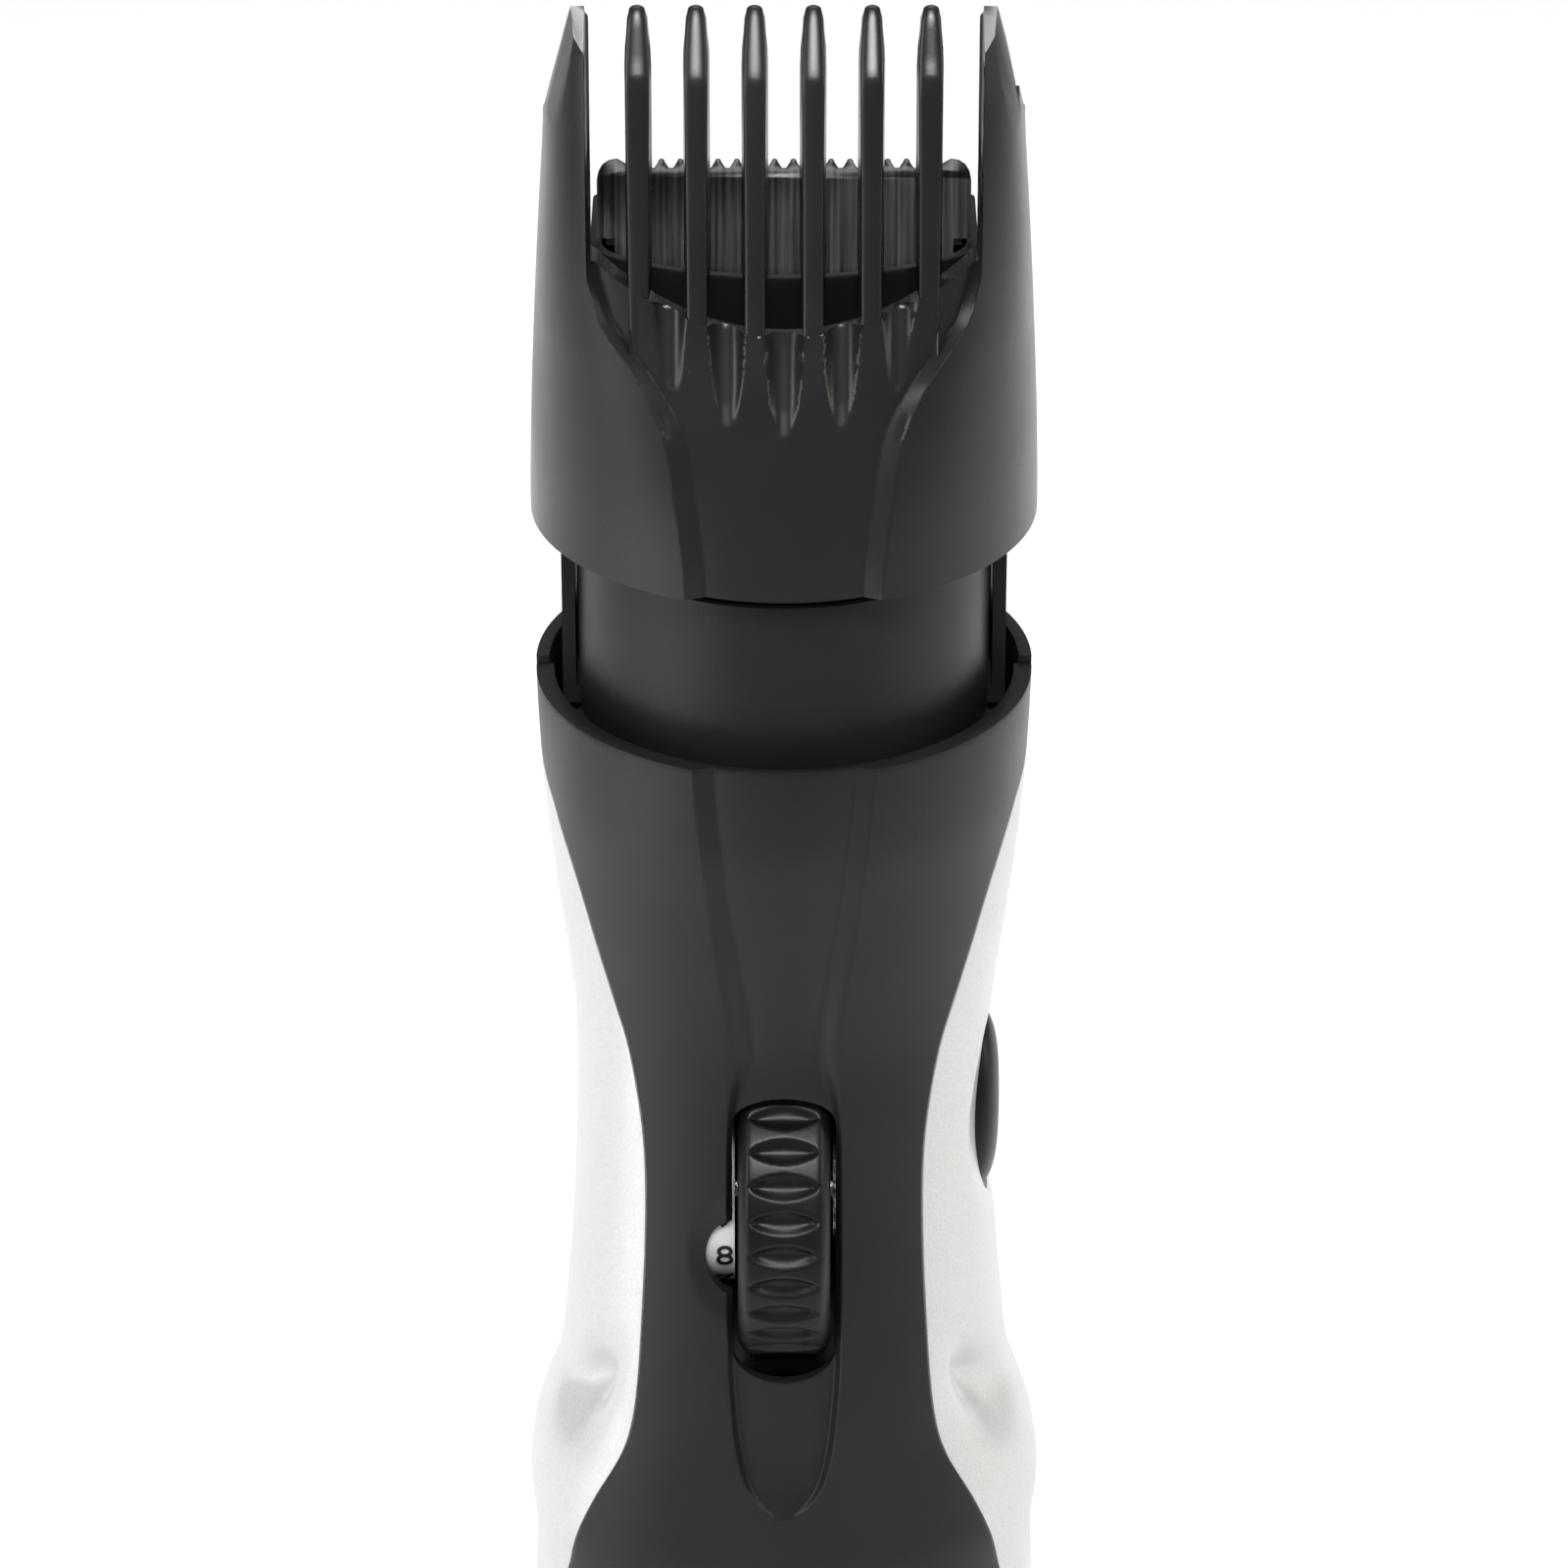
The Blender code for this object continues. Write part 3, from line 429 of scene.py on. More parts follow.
def moulded(name, colour, roughness, grain_mm, grain_height, specular=0.5):
    """Moulded plastic: fine grain, and slow changes of gloss and tone."""
    material, nodes, links, shader = new_material(name, colour, roughness, 0.0, specular)
    grain = add_noise(nodes, links, 1000 / grain_mm, 2.0)
    patches = add_noise(nodes, links, 60.0, 3.0)
    vary_roughness(nodes, links, shader, patches, roughness - 0.06, roughness + 0.06)
    light = [min(1.0, value * 1.15) for value in colour]
    dark = [value * 0.87 for value in colour]
    vary_colour(nodes, links, shader, patches, dark, light)
    add_bump(nodes, links, shader, grain, grain_height)
    return material


def brushed(name, colour, roughness, stretch, height=0.006):
    """Brushed metal with its lines along the axis that the stretch draws out."""
    material, nodes, links, shader = new_material(name, colour, roughness, 1.0)
    lines = add_noise(nodes, links, 2600.0, 4.0, stretch)
    vary_roughness(nodes, links, shader, lines, roughness - 0.1, roughness + 0.12)
    light = [min(1.0, value * 1.5) for value in colour]
    dark = [value * 0.6 for value in colour]
    vary_colour(nodes, links, shader, lines, dark, light)
    add_bump(nodes, links, shader, lines, height)
    return material


def pearl_silver():
    """Silver paint: fine flakes under a thin clear coat."""
    material, nodes, links, shader = new_material("pearl_silver", (0.72, 0.73, 0.73), 0.34, 0.35)
    flakes = add_noise(nodes, links, 5200.0, 1.0)
    vary_colour(nodes, links, shader, flakes, (0.69, 0.7, 0.7), (0.77, 0.78, 0.77))
    clouds = add_noise(nodes, links, 45.0, 2.0)
    vary_roughness(nodes, links, shader, clouds, 0.3, 0.38)
    add_bump(nodes, links, shader, flakes, 0.002, 0.3)
    shader.inputs["Coat Weight"].default_value = 0.25
    shader.inputs["Coat Roughness"].default_value = 0.2
    return material


def circuit_green():
    """Circuit board, with a lighter line pattern for its tracks."""
    material, nodes, links, shader = new_material("circuit_green", (0.02, 0.2, 0.07), 0.4)
    tracks = nodes.new("ShaderNodeTexBrick")
    tracks.inputs["Scale"].default_value = 300.0
    tracks.inputs["Color1"].default_value = (0.015, 0.16, 0.06, 1.0)
    tracks.inputs["Color2"].default_value = (0.02, 0.2, 0.07, 1.0)
    tracks.inputs["Mortar"].default_value = (0.05, 0.32, 0.12, 1.0)
    place = nodes.new("ShaderNodeTexCoord")
    links.new(place.outputs["Object"], tracks.inputs["Vector"])
    links.new(tracks.outputs["Color"], shader.inputs["Base Color"])
    return material


MATERIALS = {
    "black_shell": moulded("satin_black", (0.011, 0.011, 0.0113), 0.4, 0.18, 0.012, 0.4),
    "comb_plastic": moulded("comb_black", (0.012, 0.012, 0.0123), 0.3, 0.25, 0.005, 0.5),
    "soft_black": moulded("soft_black", (0.006, 0.006, 0.0062), 0.38, 0.3, 0.006, 0.3),
    "silver_panel": pearl_silver(),
    "white_plastic": moulded("white_plastic", (0.9, 0.9, 0.88), 0.4, 0.4, 0.004),
    "blade_steel": brushed("dark_blade", (0.15, 0.15, 0.153), 0.45, (1.0, 0.02, 0.02)),
    "steel": brushed("bright_steel", (0.55, 0.55, 0.57), 0.3, (0.05, 1.0, 1.0)),
    "contact_brass": brushed("contact_brass", (0.75, 0.56, 0.25), 0.3, (0.05, 1.0, 1.0)),
    "board": circuit_green(),
    "cell_jacket": moulded("cell_jacket", (0.1, 0.32, 0.12), 0.35, 0.6, 0.003),
    "frame_grey": moulded("frame_grey", (0.3, 0.31, 0.33), 0.5, 0.25, 0.01),
}


def dress_cad_nodes():
    """Give every CAD node the procedural material of its slot."""
    for part in frame["record"]["subparts"]:
        node = frame["nodes"][part["node"]]
        material = MATERIALS[part["material_slot"]]
        if not node.material_slots:
            node.data.materials.append(material)
        for slot in node.material_slots:
            slot.material = material
        node.data.shade_smooth()
        node.data.set_sharp_from_angle(angle=math.radians(30))


def add_piece(piece, body, node, slot):
    """Dress a new piece, and put it in the place of a CAD node."""
    piece.data.materials.clear()
    piece.data.materials.append(MATERIALS[slot])
    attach(piece, body)
    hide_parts(node)


# Handle


def shell_thickness(z, collar_thickness):
    """Thickness of a black shell, which gets thinner from the grip to the collar."""
    return SHELL_THICKNESS + (collar_thickness - SHELL_THICKNESS) * smooth_step((z - 96) / 8)


def edge_angle(z):
    """Angle where the black shells meet the silver panel, or each other past its tips."""
    if z < SILVER_LOW or z > SILVER_HIGH:
        return QUARTER
    section = at_height(HANDLE, z)
    return angle_at(section, at_height(PANEL_EDGE, z)[0] * section[0])


def grip_dimple(x, z):
    """Depth of the slanted dimple on the front corner of a silver panel."""
    lean_x, lean_z = 0.385, 0.923
    half_length, half_width = 4.6, 1.4
    along = ((x - DIMPLE_X) * lean_x - (z - DIMPLE_Z) * lean_z) / half_length
    across = ((x - DIMPLE_X) * lean_z + (z - DIMPLE_Z) * lean_x) / half_width
    return DIMPLE_DEPTH * math.exp(-(along ** 2) - across ** 2)


def button_dish(y, z):
    """Depth of the dish round the button."""
    half_width, half_height = 8.2, 11.5
    reach = (y / half_width) ** 2 + ((z - BUTTON_Z) / half_height) ** 2
    return DISH_DEPTH * max(0.0, 1 - reach) ** 0.7


def handle_point(angle, z, inset, side_dents=False):
    """Point of the handle's skin. The side dents are those of the silver panels."""
    section = at_height(HANDLE, z)
    x, y = section_point(section, angle, inset)
    if side_dents and x > 0:
        x -= button_dish(y, z)
    if side_dents and y < 0:
        dent = grip_dimple(abs(x), z) * smooth_step(-y / 6)
        x -= math.copysign(0.8 * dent, x)
        y += 0.5 * dent
    return x, y, z


def handle_rows(low, high, step=0.7):
    """Even rows, with extra ones at the silver panels' tips."""
    rows = spread(low, high, round((high - low) / step))
    for tip in (SILVER_LOW, SILVER_HIGH):
        rows += [tip + shift for shift in (-0.6, -0.02, 0.0, 0.3, 0.6) if low < tip + shift < high]
    rows = sorted(set(rows))
    return [z for i, z in enumerate(rows) if i == 0 or z - rows[i - 1] > 0.01]


def window_dish(x, z):
    """Depth of the hollow round the number window, to the left of the wheel's slot."""
    if x >= -3.9:
        return 0.0
    centre_x, centre_z = -4.6, 75.0
    half_width, half_height = 3.7, 5.8
    reach = ((x - centre_x) / half_width) ** 2 + ((z - centre_z) / half_height) ** 2
    return max(0.0, 1 - reach) ** 1.3


def channel_columns(floor, brim, edge, crisp):
    """Angles across half of the front, each with its share of the channel's depth."""
    bend = 0.12 * (brim - floor)
    columns = [(angle, 0.72 + 0.28 * (angle / floor) ** 2) for angle in spread(0, floor - bend, 9)]
    for i in range(13):
        t = i / 12
        slope = (1 - crisp) * (1 - smooth_step(t)) + crisp * (1 - t)
        columns.append((floor + (brim - floor) * t, slope))
    columns += [(angle, 0.0) for angle in spread(brim + bend, edge, 34)]
    return columns


def front_row(z):
    """One row of the front shell's outside and inside, with the channel sunk into the outside."""
    section = at_height(HANDLE, z)
    half, slope, depth = at_height(CHANNEL, z)
    floor = angle_at(section, half - slope)
    brim = angle_at(section, half)
    edge = edge_angle(z) - SEAM / section[0]
    crisp = smooth_step((z - 98) / 10)
    columns = channel_columns(floor, brim, edge, crisp)
    both = [(-angle, share) for angle, share in reversed(columns[1:])] + columns
    outer = []
    for angle, share in both:
        x, y, _ = handle_point(angle, z, 0.0)
        outer.append((x, y + share * depth + (1 - share) * window_dish(x, z), z))
    inset = shell_thickness(z, FRONT_COLLAR_THICKNESS)
    inner = [handle_point(angle, z, inset) for angle, _ in both]
    return outer, inner


def front_shell():
    """Front shell with the wheel's slot, the number window and a pocket for the drum behind it."""
    heights = set(handle_rows(SHELL_BOTTOM, COLLAR_TOP, 0.6) + spread(49.85, 54.85, 25))
    rows = [front_row(z) for z in sorted(heights)]
    shell = make_shell("front_shell", [row[0] for row in rows], [row[1] for row in rows])
    through = (-26, -9)
    arch_size = (SLOT_HALF_WIDTH, SLOT_ARCH_RISE)
    top_arch = ellipse((0, WHEEL_Z + SLOT_ARCH_START), arch_size, 98)[:50]
    low_arch = [(x, 2 * WHEEL_Z - z) for x, z in reversed(top_arch)]
    slot = prism("slot_tool", top_arch + low_arch, "y", *through)
    window_size = (WINDOW_HALF_WIDTH, WINDOW_HALF_HEIGHT)
    window_outline = ellipse((WINDOW_X, WINDOW_Z), window_size, 64, QUARTER)[:33]
    window_outline += [(-3.0, WINDOW_Z - WINDOW_HALF_HEIGHT), (-3.0, WINDOW_Z + WINDOW_HALF_HEIGHT)]
    window = prism("window_tool", window_outline, "y", *through)
    pocket_left, pocket_right = -7.6, -3.9
    pocket_profile = [(DRUM_RADIUS + GAP, pocket_left), (DRUM_RADIUS + GAP, pocket_right)]
    pocket = turned("pocket_tool", pocket_profile, (WHEEL_Y, WHEEL_Z), "x", 98)
    cut(shell, slot, window, pocket)
    soften(shell, 0.16, 50)
    add_piece(shell, "handle", "front_housing", "black_shell")


def rear_shell():
    """Back half of the black shell, up to its thinner collar."""
    outer = []
    inner = []
    for z in handle_rows(SHELL_BOTTOM, REAR_COLLAR_TOP):
        edge = edge_angle(z) - SEAM / at_height(HANDLE, z)[0]
        angles = spread(math.pi - edge, math.pi + edge, 72)
        inset = shell_thickness(z, REAR_COLLAR_THICKNESS)
        outer.append([handle_point(angle, z, 0.0) for angle in angles])
        inner.append([handle_point(angle, z, inset) for angle in angles])
    shell = make_shell("rear_shell", outer, inner)
    soften(shell, 0.16, 50)
    add_piece(shell, "handle", "rear_housing", "black_shell")


def silver_panel(name, side, node):
    """Silver side panel with its dents, and with the button's hole on the right one."""
    outer = []
    inner = []
    for z in handle_rows(SILVER_START, SILVER_END, 0.5):
        edge = edge_angle(z) + SEAM / at_height(HANDLE, z)[0]
        angles = [side * angle for angle in spread(edge, math.pi - edge, 70)]
        inset = PANEL_THICKNESS - 0.2 * smooth_step((z - 95) / 8)
        outer.append([handle_point(angle, z, 0.0, True) for angle in angles])
        inner.append([handle_point(angle, z, inset, True) for angle in angles])
    panel = make_shell(name, outer, inner)
    if side > 0:
        hole = ellipse((0, BUTTON_Z), (BUTTON_HALF_WIDTH + GAP, BUTTON_HALF_HEIGHT + GAP), 98)
        cut(panel, prism("button_tool", hole, "x", 10, 22))
    soften(panel, 0.22, 50, 3)
    add_piece(panel, "handle", node, "silver_panel")


def base_plate():
    """Bottom cap with the charging socket's hole and two screw holes."""
    rings = []
    for inset, z in ((0.5, 0.0), (0.16, 0.14), (0.0, 0.5), (0.0, 1.2), (0.0, 2.0), (0.0, 2.9)):
        section = at_height(HANDLE, z)
        rings.append([(*section_point(section, TAU * i / 192, inset), z) for i in range(192)])
    plate = make_skin("base_plate", rings)
    cut(plate, box("socket_hole_tool", (-7.3, 7.3), (-5.1, 5.1), (-1, 4)))
    for side in (-1, 1):
        well = turned("well_tool", [(2.3, -1), (2.3, 1.4)], (SCREW_X * side, 0), "z", 48)
        bore = turned("bore_tool", [(1.3, 1), (1.3, 4)], (SCREW_X * side, 0), "z", 48)
        cut(plate, well, bore)
    add_piece(plate, "handle", "base_cap", "black_shell")


# Neck, head and blade


def neck():
    """Tube that the comb slides on, with a flange, and a notch on each side for the carriage."""
    profile = [(NECK_RADIUS - 0.2, NECK_HIGH), (NECK_RADIUS, NECK_HIGH - 0.2)]
    profile += [(NECK_RADIUS, FLANGE_HIGH), (FLANGE_RADIUS, FLANGE_HIGH)]
    profile += [(FLANGE_RADIUS, FLANGE_LOW), (NECK_RADIUS, FLANGE_LOW)]
    profile += [(NECK_RADIUS, NECK_LOW), (NECK_BORE, NECK_LOW), (NECK_BORE, NECK_HIGH)]
    tube = turned("neck_tube", profile, (0, 0), "z", 240, True)
    for side in (-1, 1):
        notch_span = tuple(sorted((14 * side, 17.45 * side)))
        lane_span = tuple(sorted((17 * side, 20 * side)))
        cut(tube, box("notch_tool", notch_span, (-3, 3), (100, 125)))
        cut(tube, box("lane_tool", lane_span, (-3.3, 3.3), (118, 122)))
    add_piece(tube, "handle", "head_tube", "black_shell")


def head():
    """Hollow blade holder whose back slopes away under a sagging lip."""
    outer = []
    inner = []
    for z in spread(HEAD[0][0], HEAD[-1][0], 40):
        section = at_height(HEAD, z)
        inset = 1.6 - 0.8 * smooth_step((z - 137) / 21)
        angles = [TAU * i / 180 for i in range(180)]
        outer.append([(*section_point(section, angle), z) for angle in angles])
        inner.append([(*section_point(section, angle, inset), z) for angle in angles])
    holder = make_skin("blade_head", outer + inner[::-1], True)
    lip_height, lip_radius = 162.1, 56.0
    lip_profile = [(lip_radius, -30), (lip_radius, 30)]
    cut(holder, turned("lip_tool", lip_profile, (0, lip_height + lip_radius), "y", 482))
    soften(holder, 0.12, 50)
    add_piece(holder, "handle", "blade_holder", "black_shell")


def tooth(middle, root, tip, half_root, half_tip):
    """Outline of one round-topped tooth, from its right foot to its left foot."""
    points = [(middle + half_root, root)]
    for k in range(7):
        angle = math.pi * k / 6
        points.append((middle + half_tip * math.cos(angle), tip - half_tip * (1 - math.sin(angle))))
    points.append((middle - half_root, root))
    return points


def fixed_blade():
    """Toothed plate, drawn flat with its tips at height 0, then tilted and put in place."""
    half, root, tongue, shoulder = 14.9, -0.75, 11.8, 13.5
    right_side = [
        (tongue, -8.6), (shoulder, -8.6), (shoulder, -6.3), (half, -6.3), (half, -1.6), (half - 0.12, -1.0),
        (half - 0.45, -0.45), (half - 0.95, -0.12), (half - 1.6, 0.0), (half - 2.3, -0.4), (half - 2.5, root),
    ]
    outline = [(-tongue, -10.4), (tongue, -10.4)] + right_side
    for i in reversed(range(BLADE_TEETH)):
        outline += tooth((i - (BLADE_TEETH - 1) / 2) * BLADE_PITCH, root, 0.0, 0.58, 0.26)
    outline += [(-x, z) for x, z in reversed(right_side)]
    blade = prism("blade_plate", outline, "y", 0.0, BLADE_THICKNESS)
    chamfer = [(-0.1, -1.75), (0.5, 0.6), (-3, 0.6), (-3, -1.75)]
    cut(blade, prism("chamfer_tool", chamfer, "x", -20, 20))
    blade.data.transform(Euler((-BLADE_TILT, 0, 0)).to_matrix().to_4x4())
    blade.location = Vector((0, -BLADE_TOP_DEPTH, BLADE_TOP)) * MM
    add_piece(blade, "handle", "fixed_blade", "blade_steel")


# Guide comb


def flute_floor(depth):
    """Height of the flutes' floor where it is at a depth, on straight lines between stations."""
    for (deep, low), (shallow, high) in zip(FLUTE, FLUTE[1:]):
        if depth >= shallow:
            return low + (high - low) * (deep - depth) / (deep - shallow)
    return FLUTE[-1][1]


def fluted_depth(x, depth, z, section):
    """Depth of the front wall where a flute between two teeth scoops it out."""
    index = round(x / COMB_PITCH)
    middle = section_point(section, angle_at(section, abs(index) * COMB_PITCH))
    drop = section[1] + middle[1]
    half = FLUTE_HALF_WIDTH - 0.25 * smooth_step((z - 154) / 6)
    across = abs(x - index * COMB_PITCH)
    if abs(index) > 3 or across >= half or z < FLUTE[1][1]:
        return depth
    low = z - FLUTE_STARTS[abs(index)] - 1.17 * across ** 2.5
    if low <= flute_floor(depth + drop):
        return depth
    deep, shallow = depth, depth - 3.0
    for _ in range(12):
        middle_depth = (deep + shallow) / 2
        if low > flute_floor(middle_depth + drop):
            deep = middle_depth
        else:
            shallow = middle_depth
    return shallow


def comb_row(z):
    """One ring of the comb's outside and one of its inside, with the sunken front and its flutes."""
    outer_section = at_height(COMB_OUTER, z)
    inner_section = at_height(COMB_INNER, z)
    half, slope, depth = at_height(COMB_RECESS, z)
    floor = angle_at(outer_section, half - slope)
    brim = angle_at(outer_section, half)
    bend = 0.12 * (brim - floor)
    sink = [(angle, 1.0) for angle in spread(0, floor - bend, 60)]
    sink += [(floor + (brim - floor) * i / 8, 1 - i / 8) for i in range(9)]
    sink += [(angle, 0.0) for angle in spread(brim + bend, QUARTER, 20)]
    sink += [(angle, 0.0) for angle in spread(QUARTER, math.pi, 30)[1:]]
    around = sink + [(-angle, share) for angle, share in reversed(sink[1:-1])]
    outer = []
    inner = []
    for angle, share in around:
        x, y = section_point(outer_section, angle)
        y += depth * share
        inner_x, inner_y = section_point(inner_section, angle)
        if share > 0 and y < 0:
            y = min(-fluted_depth(x, -y, z, outer_section), inner_y - 0.3)
        outer.append((x, y, z))
        inner.append((inner_x, inner_y, z))
    return outer, inner


def comb_rows():
    """Heights of the comb's rows before its top is cut, closest together at the flutes."""
    rows = spread(COMB_BOTTOM, 150, 14)
    rows += spread(150, 162, 40)[1:]
    rows += spread(162, COMB_BLANK_TOP, 26)[1:]
    return rows


def inset_outline(outline, amount):
    """Move each point of an anticlockwise outline inwards."""
    moved = []
    count = len(outline)
    for i, (a, b) in enumerate(outline):
        before, after = outline[i - 1], outline[(i + 1) % count]
        run_a, run_b = after[0] - before[0], after[1] - before[1]
        length = math.hypot(run_a, run_b)
        moved.append((a - run_b / length * amount, b + run_a / length * amount))
    return moved


def tooth_side(x):
    """Side outline of a comb tooth as (depth, z): up its front, over the tip and down its back."""
    front = []
    for z in spread(157, 180.4, 20):
        section = at_height(COMB_OUTER, z)
        _, y = section_point(section, angle_at(section, abs(x)))
        front.append((-y - at_height(COMB_RECESS, z)[2] - 0.02, z))
    start = front[-1][0]
    tip = [(start - 0.25, 180.95), (start - 0.6, 181.5)]
    tip += [(start - 0.6 + (11.2 - start + 0.6) * t, 181.5 + 3.3 * t) for t in (0.25, 0.5, 0.75, 1.0)]
    tip += [(10.85, 185.3), (10.6, 185.55), (10.35, 185.6), (10.15, 185.45), (10.05, 185.1)]
    back = [(at_height(COMB_INNER, z)[1] + 0.02, z) for z in spread(184.4, 157, 20)]
    return front + tip + back


def comb_tooth(x):
    """Tooth that is narrow and round at the front, wider at the back and narrow again at its tip."""
    outline = tooth_side(x)
    rings = []
    for share in (-1, -0.94, -0.8, -0.55, -0.28, 0, 0.28, 0.55, 0.8, 0.94, 1):
        inset = TOOTH_ROUNDING * (1 - math.sqrt(max(0.0, 1 - (0.98 * share) ** 2)))
        moved = inset_outline(outline, inset)
        ring = []
        for depth, z in moved:
            half = TOOTH_HALF_WIDTH + 0.25 * smooth_step((15.2 - depth) / 4)
            half -= 0.25 * smooth_step((z - 180.5) / 4) + 0.22 * smooth_step((z - 184.2) / 1.4)
            ring.append((x + share * half, -depth, z))
        rings.append(ring)
    return make_skin("comb_tooth", rings, False, 60)


def facet_tool(side):
    """Block whose flat face slants the outside of a side wall's tip."""
    low_front = Vector((side * 16.7, -12.1, 181.0))
    low_back = Vector((side * 18.7, -8.0, 177.0))
    high_front = Vector((side * 16.7, -10.4, 185.3))
    along = (low_back - low_front).normalized()
    up = (high_front - low_front).normalized()
    away = along.cross(up).normalized() * 12
    if away.x * side < 0:
        away = -away
    face = [low_front + along * a + up * b for a, b in ((-6, -9), (24, -9), (24, 16), (-6, 16))]
    return make_skin("facet_tool", [face, [point + away for point in face]])


def merge(target, *others):
    """Put the other objects' meshes into the target's."""
    mesh = bmesh.new()
    for made in (target, *others):
        mesh.from_mesh(made.data)
    mesh.to_mesh(target.data)
    mesh.free()
    for made in others:
        bpy.data.objects.remove(made)


def guide_comb():
    """Comb with a slanted top, corners cut off its side walls, and six teeth across its front."""
    rows = [comb_row(z) for z in comb_rows()]
    rings = [outer for outer, _ in rows] + [inner for _, inner in reversed(rows)]
    comb = make_skin("comb_body", rings, True)
    far, above = 30, 200
    side_top = [(-far, 159), (-14.0, 180.8), (-10.6, 185.6), (-9.4, 184.6), (-4.0, 176.5), (4.0, 160)]
    side_top += [(12, 152.5), (far, 150), (far, above), (-far, above)]
    cut(comb, prism("side_top_tool", side_top, "x", -far, far))
    for side in (-1, 1):
        corner = [(side * 16.5, 186), (side * 19.1, 174.5), (side * far, 174.5), (side * far, above)]
        corner.append((side * 16.5, above))
        cut(comb, prism("corner_tool", corner, "y", -far, far), facet_tool(side))
    half_opening = 15.3
    opening = [
        (x, FRONT_TOP + TOP_RISE * (x / COMB_PITCH) ** 2) for x in spread(-half_opening, half_opening, 41)
    ]
    opening += [(half_opening, above), (-half_opening, above)]
    cut(comb, prism("opening_tool", opening, "y", -far, -5))
    soften(comb, 0.15, 40)
    merge(comb, *[comb_tooth((index + 0.5) * COMB_PITCH) for index in range(-3, 3)])
    add_piece(comb, "comb", "guide_comb", "comb_plastic")


# Wheel, numbers and button


def wheel_radius(x, angle):
    """Rim radius: a crowned band with lens-shaped notches across it."""
    edge = abs(x) / WHEEL_RIGHT
    crown = WHEEL_RADIUS - 0.12 * edge ** 2 - 1.15 * max(0.0, (edge - 0.72) / 0.28) ** 2
    pitch = TAU * WHEEL_RADIUS / WHEEL_NOTCHES
    turn = (angle / TAU * WHEEL_NOTCHES) % 1.0
    along = (turn - 0.5) * pitch
    reach = NOTCH_HALF_HEIGHT * max(0.0, 1 - (x / NOTCH_HALF_WIDTH) ** 2)
    if reach <= abs(along):
        return crown
    return crown - NOTCH_DEPTH * (1 - (along / reach) ** 2) * min(1.0, reach / NOTCH_DEPTH)


def wheel_point(x, radius, angle):
    return x, WHEEL_Y + radius * math.cos(angle), WHEEL_Z + radius * math.sin(angle)


def thumb_wheel():
    """Notched rim, and a shallow ring sunk into each face between the rim and the hub."""
    count = WHEEL_NOTCHES * 14
    angles = [TAU * i / count for i in range(count)]
    rings = []
    for x in spread(WHEEL_LEFT, WHEEL_RIGHT, 36):
        rings.append([wheel_point(x, wheel_radius(x, angle), angle) for angle in angles])
    face = [(0.5, 11.0), (0.5, 4.0), (0.0, 3.6), (0.0, AXLE_BORE)]
    sides = [(WHEEL_RIGHT - sunk, radius) for sunk, radius in face]
    sides += [(WHEEL_LEFT + sunk, radius) for sunk, radius in reversed(face)]
    for x, radius in sides:
        rings.append([wheel_point(x, radius, angle) for angle in angles])
    wheel = make_skin("wheel_rim", rings, True, 50)
    add_piece(wheel, "wheel", "thumb_wheel", "soft_black")


def number_drum():
    profile = [(AXLE_BORE, DRUM_LEFT), (DRUM_RADIUS - 0.3, DRUM_LEFT), (DRUM_RADIUS - 0.08, DRUM_LEFT + 0.12)]
    profile += [(DRUM_RADIUS, DRUM_LEFT + 0.35), (DRUM_RADIUS, DRUM_RIGHT), (AXLE_BORE, DRUM_RIGHT)]
    drum = turned("drum_band", profile, (WHEEL_Y, WHEEL_Z), "x", 240, True)
    add_piece(drum, "wheel", "number_drum", "white_plastic")


def drum_number(value):
    """A setting number, wrapped round the drum."""
    text = bpy.data.curves.new("number_text", "FONT")
    text.body = str(value)
    text.size = NUMBER_SIZE * MM
    text.align_x = "CENTER"
    text.align_y = "CENTER"
    text.extrude = 0.05 * MM
    text.resolution_u = 8
    source = bpy.data.objects.new("number_source", text)
    bpy.context.scene.collection.objects.link(source)
    bpy.context.view_layer.update()
    graph = bpy.context.evaluated_depsgraph_get()
    data = bpy.data.meshes.new_from_object(source.evaluated_get(graph))
    bpy.data.objects.remove(source)
    facing = math.radians(NUMBER_FACING + NUMBER_STEP * (value - NUMBER_AT_REST))
    for vertex in data.vertices:
        across, up, out = [part / MM for part in vertex.co]
        angle = facing + up / DRUM_RADIUS
        radius = DRUM_RADIUS + 0.05 + out
        y = WHEEL_Y - radius * math.cos(angle)
        z = WHEEL_Z + radius * math.sin(angle)
        vertex.co = Vector((NUMBER_X + across, y, z)) * MM
    digit = bpy.data.objects.new(f"drum_number_{value}", data)
    bpy.context.scene.collection.objects.link(digit)
    data.materials.clear()
    data.materials.append(MATERIALS["soft_black"])
    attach(digit, "wheel")


def power_button():
    """Domed oval that stands out of the right silver panel."""
    rim = ellipse((0, BUTTON_Z), (BUTTON_HALF_WIDTH, BUTTON_HALF_HEIGHT), 120)
    rings = [[(14.0, y, z) for y, z in rim]]
    for i in range(15):
        angle = QUARTER * i / 14.2
        share = math.cos(angle) ** 0.62
        x = BUTTON_RIM + (BUTTON_OUT - BUTTON_RIM) * math.sin(angle)
        oval = ellipse((0, BUTTON_Z), (BUTTON_HALF_WIDTH * share, BUTTON_HALF_HEIGHT * share), 120)
        rings.append([(x, y, z) for y, z in oval])
    button = make_skin("button_dome", rings, False, 50)
    add_piece(button, "button", "power_button", "soft_black")


# Stage


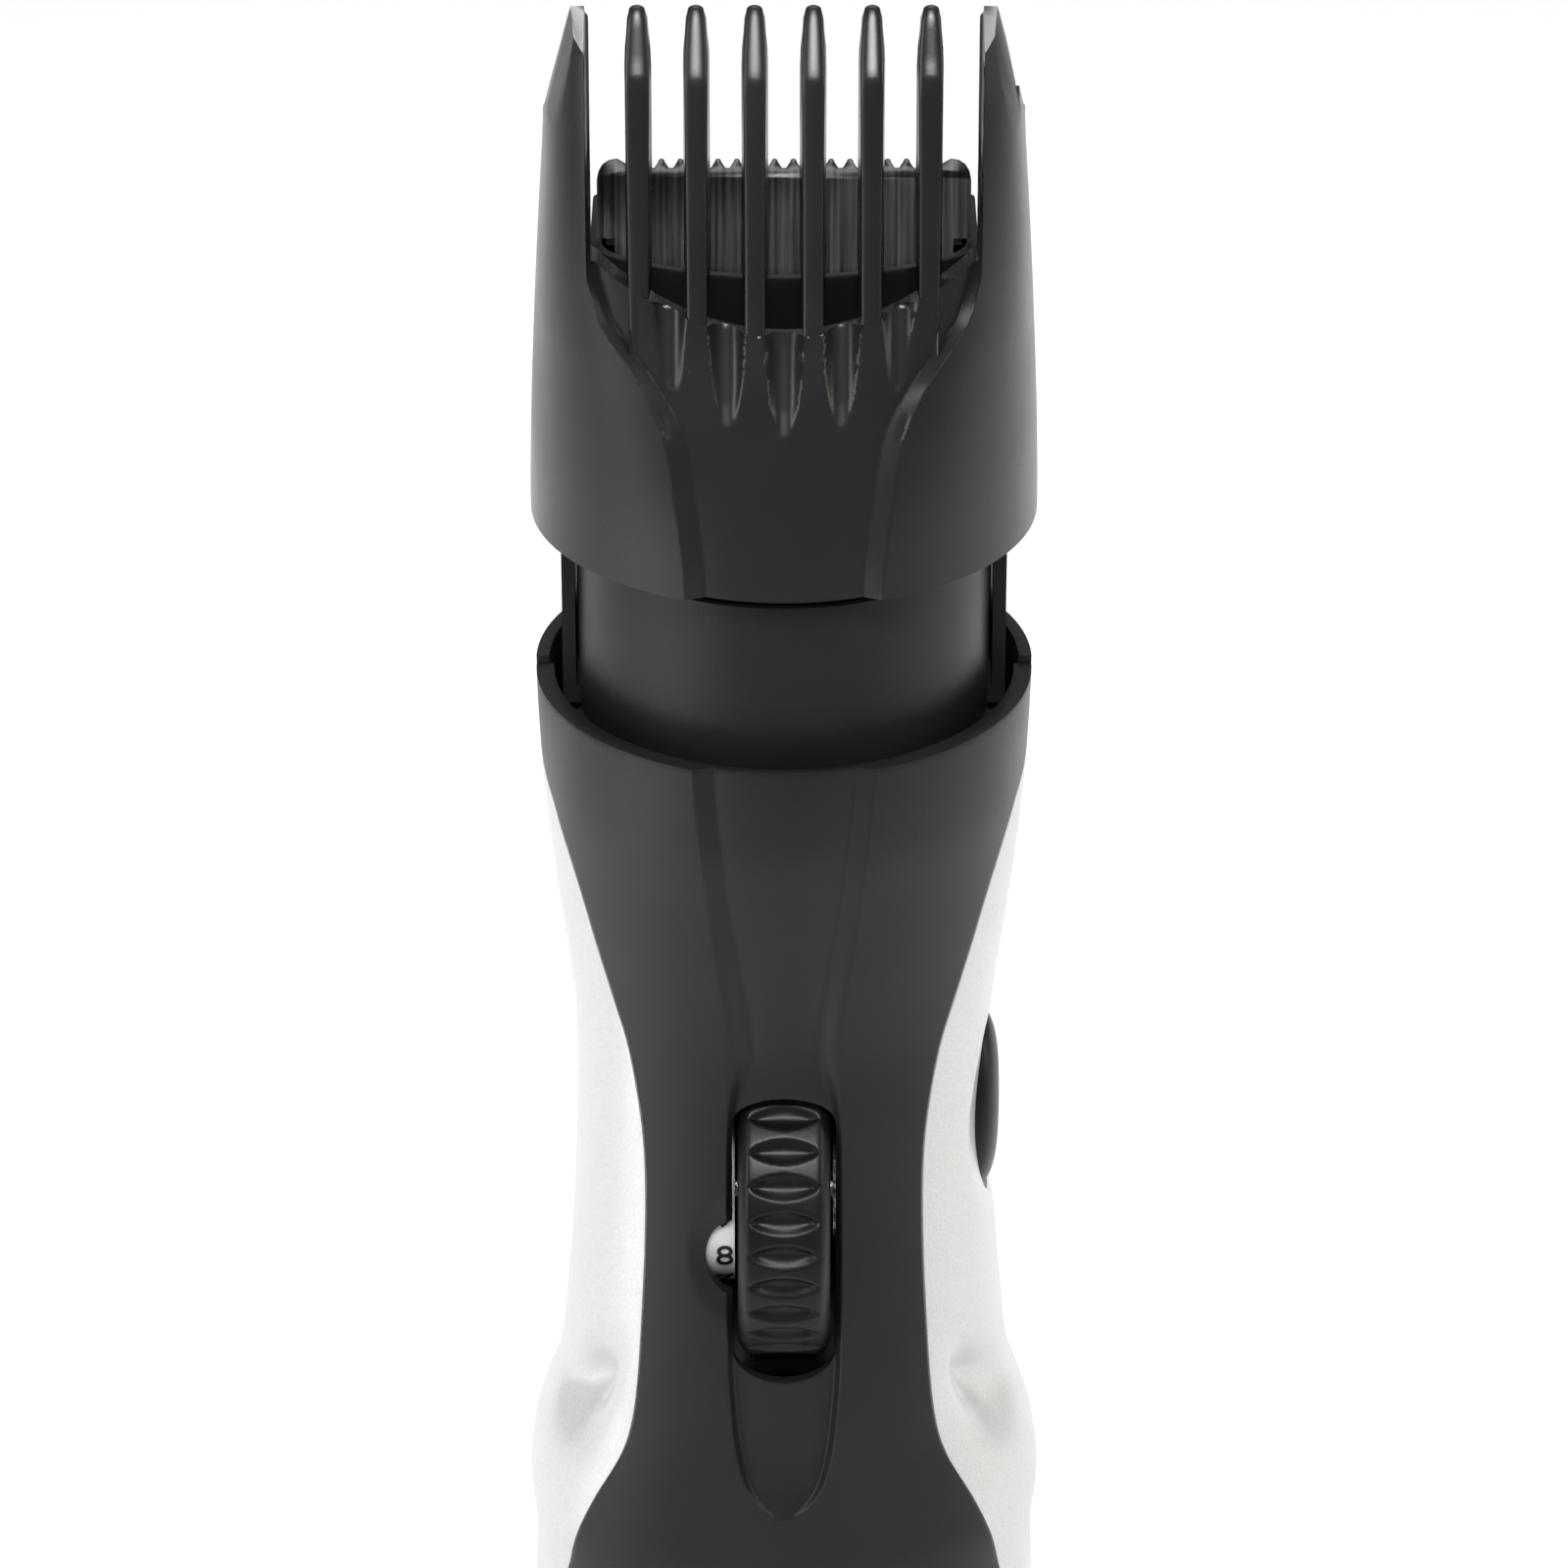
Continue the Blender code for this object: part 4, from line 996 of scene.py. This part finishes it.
def area_light(name, place, target, size, energy, spread_angle=180, colour=(1.0, 1.0, 1.0)):
    """Rectangular light. Places and sizes are in metres, and the energy is in watts."""
    light = bpy.data.lights.new(name, "AREA")
    light.shape = "RECTANGLE"
    light.size, light.size_y = size
    light.energy = energy
    light.spread = math.radians(spread_angle)
    light.color = colour
    lamp = bpy.data.objects.new(name, light)
    lamp.location = place
    lamp.rotation_euler = (Vector(target) - Vector(place)).to_track_quat("-Z", "Y").to_euler()
    bpy.context.scene.collection.objects.link(lamp)


def set_stage():
    """Pale floor, soft boxes round the clipper and an even white world."""
    mesh = bmesh.new()
    bmesh.ops.create_grid(mesh, x_segments=1, y_segments=1, size=3.0)
    floor = finish_mesh("floor", mesh)
    material, nodes, links, shader = new_material("pale_floor", (0.93, 0.93, 0.93), 0.7)
    vary_roughness(nodes, links, shader, add_noise(nodes, links, 8.0), 0.66, 0.74)
    floor.data.materials.append(material)
    world = bpy.data.worlds.new("studio")
    world.use_nodes = True
    world.node_tree.nodes["Background"].inputs["Color"].default_value = (1.0, 1.0, 1.0, 1.0)
    world.node_tree.nodes["Background"].inputs["Strength"].default_value = 0.22
    bpy.context.scene.world = world
    middle = (0, 0, 0.12)
    area_light("left_box", (-0.42, -0.2, 0.24), middle, (0.16, 0.4), 0.68)
    area_light("low_glow", (-0.2, -0.12, 0.004), (-0.2, -0.12, 1.0), (0.12, 0.2), 0.09)
    area_light("right_box", (0.5, -0.06, 0.26), middle, (0.2, 0.3), 0.58, colour=(1.0, 0.93, 0.84))
    area_light("top_box", (0.0, -0.44, 0.63), (0, 0, 0.17), (0.5, 0.16), 0.5, 50)
    area_light("back_wash", (0.0, 0.5, 0.6), (0.0, 0.48, 0.0), (1.3, 0.95), 2.7, 70)
    bpy.context.scene.view_settings.view_transform = "Standard"


def set_camera():
    """Long lens above the collar's height, looking down at the front."""
    elevation = math.radians(26)
    distance = 535.0
    collar = Vector((0, 0, 124.0))
    away = Vector((0, -math.cos(elevation), math.sin(elevation)))
    up = Vector((0, math.sin(elevation), math.cos(elevation)))
    place = collar + away * distance
    target = collar - up * 10.5
    camera = bpy.data.cameras.new("camera")
    camera.sensor_width = 36.0
    camera.lens = 146.9
    camera.clip_start = 0.01
    viewer = bpy.data.objects.new("camera", camera)
    viewer.location = place * MM
    viewer.rotation_euler = (target - place).to_track_quat("-Z", "Y").to_euler()
    bpy.context.scene.collection.objects.link(viewer)
    bpy.context.scene.camera = viewer


set_camera()
dress_cad_nodes()
front_shell()
rear_shell()
silver_panel("left_silver", -1, "left_side_panel")
silver_panel("right_silver", 1, "right_side_panel")
base_plate()
neck()
head()
fixed_blade()
guide_comb()
thumb_wheel()
number_drum()
for number in range(1, 10):
    drum_number(number)
power_button()
set_stage()
